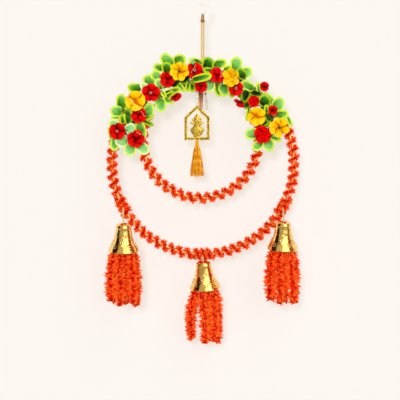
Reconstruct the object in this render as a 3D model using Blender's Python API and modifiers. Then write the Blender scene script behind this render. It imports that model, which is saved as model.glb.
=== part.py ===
"""Wall and door hanging: two hoops wound with fluffy strand, under an arch of leaves and flowers.

Three bells with tassels hang from the outer hoop, and a gilt pendant with a silk tassel hangs in
the inner one. Metres, +Z up. The hoops lie in the XZ plane and the front faces -Y. The origin is
the inner top of the hanging ring, the point that rests on a hook.
"""
import math
from collections import namedtuple

import bmesh
import bpy
from mathutils import Euler, Matrix, Vector

MM = 0.001
GAP = 0.3 * MM

# Leaves and flowers are set out on a grid of 1.27 mm squares (a twentieth of an inch).
# Columns run to the right and rows run down, and the hanging point lies at GRID_ORIGIN.
GRID = 1.27 * MM
GRID_ORIGIN = (202.7, 5.4)

# Hoops and the strand wound round them
HOOP_WIRE = 1.5 * MM
OUTER_RADIUS = 116.0 * MM
OUTER_CENTRE = Vector((0.3, 0.0, -200.3)) * MM
INNER_RADIUS = 73.8 * MM
INNER_CENTRE = Vector((-2.6, 0.0, -170.7)) * MM
OUTER_STRAND = 2.3 * MM
INNER_STRAND = 2.0 * MM
OUTER_PITCH = 10.8 * MM
INNER_PITCH = 12.0 * MM
STRAND_CLEARANCE = 0.55 * MM
TURN_POINTS = 5
GARLAND_START = 146.0
GARLAND_END = 399.0
INNER_GARLAND = (151.0, 389.0)
TIE_HALF_ANGLE = 4.2
TIE_CLEARANCE_ANGLE = 2.2
TIE_STRAND = 2.7 * MM
TIE_TURNS = 2.4

# Hanging ring, knot and cord
RING_RADIUS = 7.6 * MM
RING_THICKNESS = 1.9 * MM
KNOT_LOOP = 0.9 * MM
CORD_RADIUS = 1.15 * MM
CORD_SPREAD = 1.35 * MM
CORD_BEND = 4.7 * MM

# Bells and their tassels. A bell leans with its rim towards the wall, by BELL_TILT.
BELL_HEIGHT = 36.0 * MM
BELL_TILT = 12.5
BELL_HOLE_DEPTH = 1.45 * MM
BELL_CORD = 1.0 * MM
BELL_STEPS = 16
TASSEL_STRANDS = 6
TASSEL_LENGTH = 72.0 * MM

# Vine, leaves and flowers
VINE_RADIUS = 2.3 * MM
VINE_START = 20.0
VINE_END = 161.0
VINE_FRONT = -10.9 * MM
VINE_TOP = -4.2 * MM
VINE_OVER_CORD = -8.8 * MM
VINE_END_RADIUS = 103.0 * MM
LEAF_TIERS = (-9.8 * MM, -11.2 * MM, -12.6 * MM, -14.0 * MM)
LEAF_THICKNESS = 0.45 * MM
LEAF_CUP = 0.1
LEAF_BOW = 0.3 * MM
LEAF_TIP_BACK = 0.4 * MM
STALK = 0.8 * MM
FLOWER_BASE = -15.5 * MM
FLOWER_STALK = 1.1 * MM
# Where stalks of the vine reach back to the inner hoop, which they carry
HOOP_SEAT_ANGLES = (66.0, 111.0)

# Pendant
PENDANT_THICKNESS = 1.7 * MM
PENDANT_RIM = 3.9 * MM
PENDANT_X = -7.2 * MM
PEARL_RADIUS = 2.5 * MM
THREAD = 0.5 * MM
BEAD_RADIUS = 1.6 * MM

# Each bell: the top of its crown, its roll to the right in degrees, and where on the hoop it is tied.
Bell = namedtuple("Bell", "name crown roll hoop_angle")
BELLS = (
    Bell("left", Vector((-100.4, -16.2, -276.4)) * MM, 0.0, 208.0),
    Bell("middle", Vector((0.6, -4.5, -324.5)) * MM, -4.0, 269.6),
    Bell("right", Vector((102.4, -16.2, -273.8)) * MM, 2.0, 331.2),
)

# Outline of a bell wall: distance from the axis and height over the rim, in millimetres.
# It runs down the outside from the hole in the crown and back up the inside.
BELL_WALL = (
    (1.5, 36.0), (4.5, 35.6), (7.6, 33.6), (9.4, 30.4), (9.6, 24.0), (10.6, 17.5), (13.0, 11.0),
    (16.6, 5.0), (20.4, 1.2), (20.2, 0.0),
    (19.2, 0.3), (15.3, 5.9), (11.9, 11.8), (9.5, 18.0), (8.4, 27.0), (6.8, 32.6), (1.5, 34.8),
)
TASSEL_HEAD = ((0.0, 34.2), (2.0, 34.2), (5.6, 32.3), (7.1, 28.0), (6.6, 19.5), (0.0, 18.6))

# A tassel strand from its root in the head to where it hangs free: height over the bell's rim,
# distance from the axis and thickness radius, in millimetres.
StrandStep = namedtuple("StrandStep", "height spread radius")
STRAND_STEPS = (
    StrandStep(24.0, 3.6, 1.8),
    StrandStep(17.0, 5.2, 2.0),
    StrandStep(7.0, 9.2, 3.4),
    StrandStep(0.0, 12.4, 4.6),
    StrandStep(-9.0, 14.8, 5.4),
)
STRAND_FREE_SPREAD = 17.6 * MM
STRAND_FULL = 6.2 * MM
STRAND_THIN = 4.9 * MM
STRAND_TIP = 3.0 * MM
STRAND_FREE_POINTS = 5

# Leaves: where the blade starts, where its tip is, and its width, in grid squares.
Leaf = namedtuple("Leaf", "base tip width")
LEAVES = (
    # left side, from the top of the group to its lower end
    Leaf((122, 107), (121, 94), 11),
    Leaf((121, 111), (110, 110.5), 10),
    Leaf((123.5, 114), (122, 123), 6),
    Leaf((129, 122), (129, 107), 6),
    Leaf((119, 127), (108.5, 121), 11),
    Leaf((126.5, 130), (137, 128.5), 10),
    Leaf((140, 133), (141, 121), 9),
    Leaf((143, 110), (154.5, 110), 11),
    Leaf((145, 117), (154, 117), 6),
    Leaf((115, 139), (113, 150), 8),
    Leaf((127, 139), (115, 141), 11),
    Leaf((130, 144), (130, 154.5), 11),
    Leaf((137, 144), (148, 151), 9.5),
    Leaf((158, 99), (162, 111.6), 10.5),
    # top, left of the hanging cord
    Leaf((168, 65), (162.5, 54.5), 10),
    Leaf((176, 64), (185, 55.5), 10),
    Leaf((170, 71), (163, 64), 8),
    Leaf((163, 70), (154, 66), 7),
    Leaf((163, 79), (153, 72), 9),
    Leaf((150, 84), (144, 76), 9),
    Leaf((141, 89), (128, 87.5), 8),
    Leaf((149, 90), (141, 84), 7),
    Leaf((162, 87), (158, 78), 7),
    Leaf((164, 99), (172, 102), 6),
    Leaf((184, 84), (176, 91), 7),
    Leaf((188, 84), (186, 92), 6),
    Leaf((189, 85), (194, 91), 6),
    Leaf((203, 66), (189, 59.5), 9),
    # top, right of the hanging cord
    Leaf((216, 81), (204, 91), 10),
    Leaf((210, 68), (209, 57), 11),
    Leaf((215, 66), (226, 60.5), 8),
    Leaf((235, 69), (237, 56), 11),
    Leaf((240, 73), (252, 69), 9.5),
    Leaf((239, 79), (242, 68), 7),
    Leaf((226, 85), (219, 95), 8.5),
    Leaf((253, 89), (241, 83), 8),
    Leaf((249, 91), (243, 101), 8),
    # right side, down to the lower end of the group
    Leaf((262, 105), (271, 96), 9),
    Leaf((271, 109), (284.5, 98.5), 11),
    Leaf((263, 114), (268, 106), 6.5),
    Leaf((276, 116), (288, 112), 8.5),
    Leaf((257, 133), (245.5, 136), 9),
    Leaf((262, 141), (253, 148), 8.5),
    Leaf((266, 139), (273, 150), 10),
)
# One leaf lies over the flowers left of the cord.
FRONT_LEAF = Leaf((189, 79.5), (211, 76), 9)
FRONT_LEAF_DEPTH = -26.6 * MM

# Flowers: centre and radius in grid squares, how far the stalk lifts it, cup depth as a part of
# the radius, and the tilt of its face to the right and upwards in degrees.
Flower = namedtuple("Flower", "colour centre radius lift cup right up")
FLOWERS = (
    Flower("yellow", (135.5, 101.5), 10.0, 5.0, 0.25, 0, 5),
    Flower("red", (151, 93), 9.3, 0.0, 0.25, 0, 0),
    Flower("red", (138.5, 115), 8.0, 0.0, 0.45, 5, -8),
    Flower("red", (118, 131), 8.5, 0.0, 0.4, -12, -8),
    Flower("red", (136, 138.5), 9.0, 0.0, 0.4, 0, -6),
    Flower("yellow", (179.5, 72), 9.8, 5.5, 0.2, 0, 4),
    Flower("red", (168, 79.5), 8.0, 0.0, 0.4, -10, 0),
    Flower("red", (194.5, 71), 8.4, 0.0, 0.3, 4, 6),
    Flower("red", (201, 86), 6.4, 0.0, 0.5, 0, -10),
    Flower("red", (175, 95.5), 5.0, 0.0, 0.7, 4, -8),
    Flower("red", (217, 76), 8.0, 0.0, 0.5, 0, 5),
    Flower("yellow", (231.5, 77.5), 9.3, 5.5, 0.5, -12, -8),
    Flower("red", (235.5, 88.5), 7.5, 0.0, 0.35, 6, 0),
    Flower("red", (241, 101.5), 5.0, 0.0, 0.7, -6, -10),
    Flower("red", (253.5, 101.5), 5.8, 0.0, 0.6, 0, -4),
    Flower("red", (264, 87), 5.0, 0.0, 0.7, 12, 4),
    Flower("red", (272.5, 110.5), 5.2, 0.0, 0.6, 6, 0),
    Flower("yellow", (256.5, 116.5), 9.0, 0.0, 0.3, 0, 0),
    Flower("yellow", (279, 127.8), 10.3, 5.0, 0.2, 0, 0),
    Flower("red", (262.5, 134.5), 9.0, 0.0, 0.45, 0, -4),
)

for old in list(bpy.data.objects):
    bpy.data.objects.remove(old, do_unlink=True)

parts = bpy.data.collections.new("ring_latkan_tassel")
bpy.context.scene.collection.children.link(parts)


def make_look(name, colour, roughness, metallic):
    """A Principled material for one kind of piece."""
    look = bpy.data.materials.new(name)
    look.use_nodes = True
    shader = look.node_tree.nodes["Principled BSDF"]
    shader.inputs["Base Color"].default_value = (*colour, 1.0)
    shader.inputs["Roughness"].default_value = roughness
    shader.inputs["Metallic"].default_value = metallic
    return look


GOLD = make_look("gilt_plastic", (0.62, 0.40, 0.10), 0.2, 1.0)
GOLD_WIRE = make_look("gold_foil", (0.70, 0.50, 0.18), 0.35, 1.0)
FLUFF = make_look("orange_fluff", (0.80, 0.07, 0.01), 0.8, 0.0)
RED_FLUFF = make_look("red_fluff", (0.78, 0.04, 0.01), 0.8, 0.0)
LEAF_GREEN = make_look("leaf_green", (0.16, 0.48, 0.08), 0.5, 0.0)
PETALS = {
    "red": make_look("red_petal", (0.66, 0.0, 0.01), 0.5, 0.0),
    "yellow": make_look("yellow_petal", (0.95, 0.55, 0.0), 0.5, 0.0),
}
SILK = make_look("gold_silk", (0.80, 0.36, 0.02), 0.45, 0.0)
CORD = make_look("gold_cord", (0.68, 0.44, 0.14), 0.45, 0.3)
CLEAR = make_look("clear_plastic", (0.85, 0.85, 0.83), 0.08, 0.0)
PEARL = make_look("pearl", (0.90, 0.86, 0.78), 0.15, 0.0)
COPPER = make_look("copper_ribbon", (0.42, 0.20, 0.06), 0.35, 0.6)


def add_part(name, data, look):
    """Link a mesh or curve to the collection as a named part."""
    part = bpy.data.objects.new(name, data)
    parts.objects.link(part)
    data.materials.clear()
    data.materials.append(look)
    return part


def on_grid(place, depth=0.0):
    """The point of a grid place, at a given depth."""
    column, row = place
    return Vector(((column - GRID_ORIGIN[0]) * GRID, depth, (GRID_ORIGIN[1] - row) * GRID))


def add_tube(name, points, radius, look, resolution=0, cyclic=False, scales=None):
    """A round bar through points, as a poly curve with filled caps."""
    curve = bpy.data.curves.new(name, "CURVE")
    curve.dimensions = "3D"
    curve.bevel_depth = radius
    curve.bevel_resolution = resolution
    curve.use_fill_caps = True
    spline = curve.splines.new("POLY")
    spline.points.add(len(points) - 1)
    for index, point in enumerate(points):
        spline.points[index].co = (*point, 1.0)
        spline.points[index].radius = scales[index] if scales else 1.0
    spline.use_cyclic_u = cyclic
    return add_part(name, curve, look)


def to_mesh(part):
    """Replace a curve or a modified object by its finished mesh, with its caps welded."""
    bpy.context.view_layer.update()
    graph = bpy.context.evaluated_depsgraph_get()
    mesh = bpy.data.meshes.new_from_object(part.evaluated_get(graph))
    mesh.transform(part.matrix_world)
    shape = bmesh.new()
    shape.from_mesh(mesh)
    bmesh.ops.remove_doubles(shape, verts=shape.verts, dist=0.002 * MM)
    shape.to_mesh(mesh)
    shape.free()
    name = part.name
    look = part.data.materials[0]
    bpy.data.objects.remove(part, do_unlink=True)
    return add_part(name, mesh, look)


def fuse(name, pieces):
    """Join overlapping closed pieces into one closed solid."""
    solids = [to_mesh(piece) for piece in pieces]
    joined = solids[0]
    tools = bpy.data.collections.new(name + "_tools")
    bpy.context.scene.collection.children.link(tools)
    for solid in solids[1:]:
        parts.objects.unlink(solid)
        tools.objects.link(solid)
    union = joined.modifiers.new("union", "BOOLEAN")
    union.operation = "UNION"
    union.operand_type = "COLLECTION"
    union.collection = tools
    union.solver = "EXACT"
    result = to_mesh(joined)
    for solid in solids[1:]:
        bpy.data.objects.remove(solid, do_unlink=True)
    bpy.data.collections.remove(tools)
    result.name = name
    return result


def add_turned(name, outline, look, steps, closed):
    """A turned solid from (distance from the axis, height) points in millimetres."""
    mesh = bpy.data.meshes.new(name)
    shape = bmesh.new()
    verts = [shape.verts.new((reach * MM, 0.0, height * MM)) for reach, height in outline]
    for first, second in zip(verts, verts[1:]):
        shape.edges.new((first, second))
    if closed:
        shape.edges.new((verts[-1], verts[0]))
    shape.to_mesh(mesh)
    shape.free()
    part = add_part(name, mesh, look)
    screw = part.modifiers.new("turn", "SCREW")
    screw.steps = steps
    screw.render_steps = steps
    screw.use_merge_vertices = True
    screw.merge_threshold = 0.00001
    return part


def add_loft(name, rings, look, start_pole=None, end_pole=None):
    """A closed skin through rings of like point counts, ending in faces or in poles."""
    mesh = bpy.data.meshes.new(name)
    shape = bmesh.new()
    rows = [[shape.verts.new(point) for point in ring] for ring in rings]
    count = len(rows[0])
    for low, high in zip(rows, rows[1:]):
        for index in range(count):
            after = (index + 1) % count
            shape.faces.new((low[index], low[after], high[after], high[index]))
    for row, pole in ((rows[0], start_pole), (rows[-1], end_pole)):
        if pole is None:
            shape.faces.new(row)
            continue
        tip = shape.verts.new(pole)
        for index in range(count):
            shape.faces.new((row[index], row[(index + 1) % count], tip))
    bmesh.ops.recalc_face_normals(shape, faces=shape.faces)
    shape.to_mesh(mesh)
    shape.free()
    return add_part(name, mesh, look)


def hoop_point(centre, radius, degrees, depth=0.0):
    """A point on a circle in the XZ plane, measured from +X towards +Z."""
    turn = math.radians(degrees)
    return centre + Vector((radius * math.cos(turn), depth, radius * math.sin(turn)))


def add_hoop(name, centre, radius, points):
    """A wire hoop covered with gold foil."""
    ring = [hoop_point(centre, radius, 360.0 * index / points) for index in range(points)]
    return add_tube(name, ring, HOOP_WIRE, GOLD_WIRE, resolution=1, cyclic=True)


def wound_points(centre, radius, start, end, turns, strand, turn_points=TURN_POINTS, first_turn=0.0):
    """Points of a strand wound round a hoop, clear of its wire. In front it runs outwards."""
    reach = (HOOP_WIRE + STRAND_CLEARANCE + strand) / math.cos(math.pi / turn_points)
    total = max(2, round(turns * turn_points))
    points = []
    for index in range(total + 1):
        share = index / total
        around = 2 * math.pi * (first_turn + turns * share)
        along = start + (end - start) * share
        ring = radius + reach * math.cos(around)
        points.append(hoop_point(centre, ring, along, reach * math.sin(around)))
    return points


def add_garland(name, centre, radius, start, end, pitch, strand):
    """A fluffy strand wound evenly along part of a hoop, its pile thick and thin by turns."""
    turns = math.radians(end - start) * radius / pitch
    points = wound_points(centre, radius, start, end, turns, strand)
    scales = [0.9 if index % 2 else 1.08 for index in range(len(points))]
    return add_tube(name, points, strand, FLUFF, scales=scales)


# The hoops and their winding
add_hoop("outer_hoop", OUTER_CENTRE, OUTER_RADIUS, 46)
add_hoop("inner_hoop", INNER_CENTRE, INNER_RADIUS, 36)
stops = [GARLAND_START]
for bell in BELLS:
    stops.append(bell.hoop_angle - TIE_HALF_ANGLE - TIE_CLEARANCE_ANGLE)
    stops.append(bell.hoop_angle + TIE_HALF_ANGLE + TIE_CLEARANCE_ANGLE)
stops.append(GARLAND_END)
for number, (start, end) in enumerate(zip(stops[::2], stops[1::2]), start=1):
    add_garland(f"outer_garland_{number}", OUTER_CENTRE, OUTER_RADIUS, start, end, OUTER_PITCH,
                OUTER_STRAND)
add_garland("inner_garland", INNER_CENTRE, INNER_RADIUS, *INNER_GARLAND, INNER_PITCH, INNER_STRAND)


def bell_frame(bell):
    """Where a bell stands: the matrix that takes its rim's centre from the origin to its place."""
    lean = Euler((math.radians(BELL_TILT), math.radians(bell.roll), 0.0)).to_matrix().to_4x4()
    return Matrix.Translation(bell.crown) @ lean @ Matrix.Translation((0, 0, -BELL_HEIGHT))


def add_bell_tie(bell):
    """Strand wound closely on the hoop, with the cord that goes down into the bell."""
    points = wound_points(OUTER_CENTRE, OUTER_RADIUS, bell.hoop_angle - TIE_HALF_ANGLE,
                          bell.hoop_angle + TIE_HALF_ANGLE, TIE_TURNS, TIE_STRAND,
                          turn_points=8, first_turn=-0.95)
    coil = add_tube("coil", points, TIE_STRAND, RED_FLUFF)
    crown = bell.crown
    root = min(points, key=lambda point: (point - Vector((crown.x, -8 * MM, point.z))).length)
    drop = root.z - crown.z
    end = bell_frame(bell) @ Vector((0, 0, BELL_HEIGHT - BELL_HOLE_DEPTH))
    route = [root, Vector((crown.x, (root.y + crown.y) / 2, root.z - 0.35 * drop)),
             crown + (crown - end).normalized() * 0.25 * drop, end]
    cord = add_tube("cord", route, BELL_CORD, CORD, resolution=1)
    fuse(f"bell_tie_{bell.name}", [coil, cord])


def add_tassel(bell):
    """Thick fluffy strands that hang from a head caught inside the bell."""
    frame = bell_frame(bell)
    foot = frame.translation
    head = add_turned("head", TASSEL_HEAD, RED_FLUFF, 12, closed=False)
    head.matrix_world = frame
    pieces = [head]
    for number in range(TASSEL_STRANDS + 1):
        middle = number == TASSEL_STRANDS
        turn = 2 * math.pi * (number + 0.25) / TASSEL_STRANDS
        side = Vector((math.cos(turn), math.sin(turn), 0.0)) * (0.0 if middle else 1.0)
        points = []
        radii = []
        for step in STRAND_STEPS:
            place = side * step.spread * MM + Vector((0, 0, step.height * MM))
            points.append(frame @ place if step.height >= 0 else foot + place)
            radii.append(step.radius * MM)
        start = STRAND_STEPS[-1]
        length = TASSEL_LENGTH - (number * 5 % 4) * 1.8 * MM
        for index in range(1, STRAND_FREE_POINTS + 1):
            share = index / STRAND_FREE_POINTS
            height = start.height * MM * (1 - share) - length * share
            ease = 1 - (1 - share) ** 2
            spread = start.spread * MM * (1 - ease) + STRAND_FREE_SPREAD * ease
            points.append(foot + side * spread + Vector((0, 0, height)))
            radii.append(STRAND_THIN if index % 2 else STRAND_FULL)
        radii[-1] = STRAND_TIP
        scales = [radius / STRAND_FULL for radius in radii]
        pieces.append(add_tube("strand", points, STRAND_FULL, RED_FLUFF, scales=scales))
    fuse(f"bell_tassel_{bell.name}", pieces)


# Bells with their ties and tassels
for bell in BELLS:
    add_bell_tie(bell)
    shell = add_turned(f"bell_{bell.name}", BELL_WALL, GOLD, BELL_STEPS, closed=True)
    shell.matrix_world = bell_frame(bell)
    add_tassel(bell)


def add_ring_and_cord():
    """Clear hanging ring, the knot on it, and the doubled cord down to the outer hoop."""
    ring_centre = Vector((0.0, 0.0, RING_THICKNESS - RING_RADIUS))
    ring = [hoop_point(ring_centre, RING_RADIUS, 360.0 * index / 22) for index in range(22)]
    add_tube("hanging_ring", ring, RING_THICKNESS, CLEAR, resolution=2, cyclic=True)
    grip = ring_centre - Vector((0, 0, RING_RADIUS))
    reach = RING_THICKNESS + GAP + KNOT_LOOP + 0.1 * MM
    loop = []
    for index in range(10):
        turn = 2 * math.pi * index / 10
        loop.append(grip + Vector((0, math.cos(turn), math.sin(turn))) * reach)
    loop = add_tube("loop", loop, KNOT_LOOP, CORD, resolution=1, cyclic=True)
    ball_centre = grip - Vector((0, 0, reach + 1.6 * MM))
    ball_mesh = bpy.data.meshes.new("ball")
    shape = bmesh.new()
    bmesh.ops.create_uvsphere(shape, u_segments=10, v_segments=6, radius=2.2 * MM,
                              matrix=Matrix.Translation(ball_centre) @ Matrix.Diagonal((1.4, 1, 1, 1)))
    shape.to_mesh(ball_mesh)
    shape.free()
    fuse("hanging_knot", [loop, add_part("ball", ball_mesh, CORD)])
    top = ball_centre.z - 2.2 * MM - GAP
    hoop_top = OUTER_CENTRE.z + OUTER_RADIUS
    bend_centre = hoop_top - HOOP_WIRE - GAP - CORD_RADIUS + CORD_BEND
    straight = 8
    ease_start = bend_centre + 16 * MM
    route = []
    for index in range(straight + 1):
        route.append(Vector((-CORD_SPREAD, 0, top + (ease_start - top) * index / straight)))
    for share in (0.33, 0.67):
        depth = -CORD_BEND * share * share * (3 - 2 * share)
        route.append(Vector((-CORD_SPREAD, depth, ease_start + (bend_centre - ease_start) * share)))
    for index in range(7):
        turn = math.pi * index / 6
        across = CORD_SPREAD * (2 * index / 6 - 1)
        drop = CORD_BEND * math.sin(turn)
        route.append(Vector((across, -CORD_BEND * math.cos(turn), bend_centre - drop)))
    back = [Vector((-point.x, -point.y, point.z)) for point in route[:straight + 3]]
    route.extend(reversed(back))
    add_tube("hanging_cord", route, CORD_RADIUS, CORD, resolution=2)


add_ring_and_cord()


def vine_point(degrees):
    """The vine's centre line: on the bare hoop at the top, in front of the winding at the sides."""
    off_top = abs(degrees - 90.0)
    side = min(1.0, max(0.0, (off_top - 34.0) / 14.0))
    side = side * side * (3 - 2 * side)
    over = max(0.0, 1.0 - off_top / 9.0)
    over = over * over * (3 - 2 * over)
    depth = VINE_TOP + (VINE_FRONT - VINE_TOP) * side + (VINE_OVER_CORD - VINE_TOP) * over
    radius = OUTER_RADIUS + (VINE_END_RADIUS - OUTER_RADIUS) * side
    return hoop_point(OUTER_CENTRE, radius, degrees, depth)


def nearest_vine_point(place):
    """Where on the vine a leaf or flower stalk starts."""
    candidates = [vine_point(VINE_START + 3 + index) for index in range(int(VINE_END - VINE_START) - 5)]
    return min(candidates, key=lambda point: math.hypot(point.x - place.x, point.z - place.z))


def spread_root(number):
    """A small shift that keeps stalks from starting in one and the same point."""
    return Vector((math.sin(2.4 * number), 0.8 * math.cos(1.7 * number), math.cos(3.1 * number))) * 0.6 * MM


def add_leaf(leaf, base_depth, stalk_route):
    """One leaf and its stalk: a creased blade that cups forward at its edges."""
    base = on_grid(leaf.base, base_depth)
    tip = on_grid(leaf.tip, base_depth + LEAF_TIP_BACK)
    along = tip - base
    side = Vector((along.z, 0.0, -along.x)).normalized()
    thick = Vector((0, LEAF_THICKNESS, 0))
    half_width = leaf.width * GRID / 2
    rings = []
    for share, spread in ((0.0, 0.14), (0.35, 0.93), (0.75, 0.92), (1.0, 0.26)):
        centre = base + along * share - Vector((0, LEAF_BOW * math.sin(math.pi * share), 0))
        reach = half_width * spread
        lift = Vector((0, -LEAF_CUP * reach, 0))
        rings.append([centre + side * reach + lift, centre - thick, centre - side * reach + lift,
                      centre + thick])
    blade = add_loft("leaf", rings, LEAF_GREEN)
    stalk = add_tube("stalk", [*stalk_route, base + along * 0.16], STALK, LEAF_GREEN)
    return [blade, stalk]


def add_flower(name, flower):
    """Five petals in a shallow cup on a small calyx, as one closed shape that faces forward."""
    radius = flower.radius * GRID
    petals = 5
    steps = petals * (3 if flower.radius > 7 else 2)
    per_petal = steps // petals
    rim_depth = 3.4 * MM + flower.cup * radius
    levels = (
        (1.4 * MM, 0.5 * MM, False), (0.5 * radius, 3.2 * MM, False), (radius, rim_depth, True),
        (0.5 * radius, 4.3 * MM, False), (1.6 * MM, 3.0 * MM, False),
    )
    rings = []
    for reach, depth, is_rim in levels:
        ring = []
        for index in range(steps):
            turn = 2 * math.pi * (index + 0.5) / steps
            notch = is_rim and index % per_petal == 0
            out = reach * (0.8 if notch else 1.0)
            level = depth - (0.9 * MM if notch else 0.0)
            ring.append(Vector((out * math.sin(turn), -level, out * math.cos(turn))))
        rings.append(ring)
    part = add_loft(name, rings, PETALS[flower.colour], start_pole=(0, 0, 0),
                    end_pole=(0, -4.4 * MM, 0))
    part.location = on_grid(flower.centre, FLOWER_BASE - flower.lift * MM)
    part.rotation_euler = (math.radians(-flower.up), 0.0, math.radians(flower.right))
    return part


# The vine with its leaves and stalks is one piece, and each flower head is another.
vine = [vine_point(VINE_START + (VINE_END - VINE_START) * index / 26) for index in range(27)]
vine_pieces = [add_tube("vine", vine, VINE_RADIUS, LEAF_GREEN, resolution=1)]
for index, leaf in enumerate(LEAVES):
    depth = LEAF_TIERS[index % len(LEAF_TIERS)] + 0.004 * MM * index
    root = nearest_vine_point(on_grid(leaf.base)) + spread_root(index)
    vine_pieces.extend(add_leaf(leaf, depth, [root]))
front_root = nearest_vine_point(on_grid(FRONT_LEAF.base))
front_bends = [on_grid(FRONT_LEAF.base, LEAF_TIERS[1]), on_grid(FRONT_LEAF.base, -24.5 * MM)]
vine_pieces.extend(add_leaf(FRONT_LEAF, FRONT_LEAF_DEPTH, [front_root, *front_bends]))
for number, flower in enumerate(FLOWERS, start=1):
    add_flower(f"flower_{number:02d}_{flower.colour}", flower)
    seat = FLOWER_BASE - flower.lift * MM + GAP
    centre = on_grid(flower.centre)
    root = nearest_vine_point(centre) + spread_root(number + 0.5)
    stalk = [root, on_grid(flower.centre, -12.6 * MM), on_grid(flower.centre, seat)]
    vine_pieces.append(add_tube("stalk", stalk, FLOWER_STALK, LEAF_GREEN))
for degrees in HOOP_SEAT_ANGLES:
    root = vine_point(degrees)
    seat = hoop_point(INNER_CENTRE, INNER_RADIUS, degrees, -HOOP_WIRE - GAP)
    elbow = seat + Vector((0, -3.0 * MM, 0))
    vine_pieces.append(add_tube("hoop_stalk", [root, elbow, seat], FLOWER_STALK, LEAF_GREEN))
fuse("leaf_vine", vine_pieces)


def add_beads(name, hoop_x, places, bead, look, segments, foot):
    """Beads on a thread that loops round the inner hoop."""
    rise = math.sqrt(INNER_RADIUS ** 2 - (hoop_x - INNER_CENTRE.x) ** 2)
    grip = Vector((hoop_x, 0.0, INNER_CENTRE.z + rise))
    reach = HOOP_WIRE + GAP + 0.15 * MM + THREAD
    loop = []
    for index in range(10):
        turn = 2 * math.pi * index / 10
        loop.append(grip + Vector((0, math.cos(turn), math.sin(turn))) * reach)
    pieces = [add_tube("loop", loop, THREAD, look, cyclic=True)]
    thread = [grip - Vector((0, 0, reach)), *places, foot]
    pieces.append(add_tube("thread", thread, THREAD, look))
    for place in places:
        mesh = bpy.data.meshes.new("bead")
        shape = bmesh.new()
        bmesh.ops.create_uvsphere(shape, u_segments=segments, v_segments=segments // 2,
                                  radius=bead, matrix=Matrix.Translation(place))
        shape.to_mesh(mesh)
        shape.free()
        pieces.append(add_part("bead", mesh, look))
    fuse(name, pieces)


def add_pendant():
    """House-shaped gilt frame with a water pot and its leaves standing in it."""
    low = -170.9 * MM
    shoulder = -141.5 * MM
    apex = -125.9 * MM
    half = 16.2 * MM
    outline = [(-half, low), (half, low), (half, shoulder), (0, apex), (-half, shoulder)]
    slope = math.hypot(apex - shoulder, half)
    drop = PENDANT_RIM * slope / half
    inner_half = half - PENDANT_RIM
    inner_shoulder = apex - drop - (apex - shoulder) / half * inner_half
    hole = [(-inner_half, low + PENDANT_RIM), (-inner_half, inner_shoulder), (0, apex - drop),
            (inner_half, inner_shoulder), (inner_half, low + PENDANT_RIM)]
    curve = bpy.data.curves.new("frame", "CURVE")
    curve.dimensions = "2D"
    curve.fill_mode = "BOTH"
    curve.extrude = PENDANT_THICKNESS
    for corners in (outline, hole):
        spline = curve.splines.new("POLY")
        spline.points.add(len(corners) - 1)
        for point, (across, up) in zip(spline.points, corners):
            point.co = (across, up, 0.0, 1.0)
        spline.use_cyclic_u = True
    frame = add_part("frame", curve, GOLD)
    frame.rotation_euler = (math.radians(90), 0, 0)
    frame.location = (PENDANT_X, 0, 0)
    pot_outline = ((0.0, 34.3), (2.4, 31.0), (4.4, 26.7), (3.0, 21.6), (5.7, 20.4), (4.4, 17.8),
                   (8.8, 12.9), (5.6, 7.6), (2.8, 5.8), (4.0, 3.2), (0.0, 2.6))
    pot = add_turned("pot", pot_outline, GOLD, 10, closed=False)
    pot.location = (PENDANT_X, 0, low)
    pot.scale = (1.0, 0.3, 1.0)
    pieces = [frame, pot]
    for side in (-1, 1):
        for reach, rise in ((9.4, 2.6), (6.6, 8.2)):
            root = Vector((PENDANT_X, 0, low + 20.0 * MM))
            tip = root + Vector((side * reach, 0, rise)) * MM
            middle = (root + tip) / 2
            pieces.append(add_tube("pot_leaf", [root, middle, tip], 1.3 * MM, GOLD,
                                   scales=[0.7, 1.0, 0.3]))
    fuse("pendant", pieces)
    pearls = [Vector((PENDANT_X, 0, height * MM)) for height in (-109.0, -115.2, -121.4)]
    add_beads("pearl_strand", -6.6 * MM, pearls, PEARL_RADIUS, PEARL, 8,
              Vector((PENDANT_X, 0, apex + GAP + 0.1 * MM)))
    head_outline = ((0.0, -0.3), (1.6, -0.3), (2.6, -2.0), (2.4, -5.4), (3.0, -7.0), (0.0, -8.0))
    head = add_turned("silk_head", head_outline, SILK, 10, closed=False)
    head.location = (PENDANT_X, 0, low)
    locks = [head]
    for count, spread, lock in ((11, 7.4, 1.1), (6, 4.2, 1.0), (1, 0.0, 0.9)):
        for number in range(count):
            turn = 2 * math.pi * number / count
            side = Vector((math.cos(turn), math.sin(turn), 0))
            length = 45.0 * MM - (number * 3 % 5) * 0.7 * MM
            top = Vector((PENDANT_X, 0, low - 5.8 * MM))
            root_reach = 1.9 * MM * spread / 7.4
            route = [top + side * root_reach, top + side * spread * 0.55 * MM - Vector((0, 0, 12 * MM)),
                     top + side * spread * MM - Vector((0, 0, length - 5.8 * MM))]
            locks.append(add_tube("lock", route, lock * MM, SILK, scales=[0.45, 0.85, 1.0]))
    fuse("pendant_tassel", locks)


def add_ribbon():
    """A copper ribbon that hangs over the back of the inner hoop, behind the pendant."""
    half = 2.9 * MM
    thick = 0.5 * MM
    rings = []
    for height, depth in ((-92.5, 2.5), (-99.0, 2.5), (-108.0, 3.6), (-120.0, 3.4), (-131.0, 3.1)):
        centre = Vector((-2.4 * MM, depth * MM, height * MM))
        corners = ((-half, -thick), (half, -thick), (half, thick), (-half, thick))
        rings.append([centre + Vector((across, deep, 0)) for across, deep in corners])
    add_loft("copper_ribbon", rings, COPPER)


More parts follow.
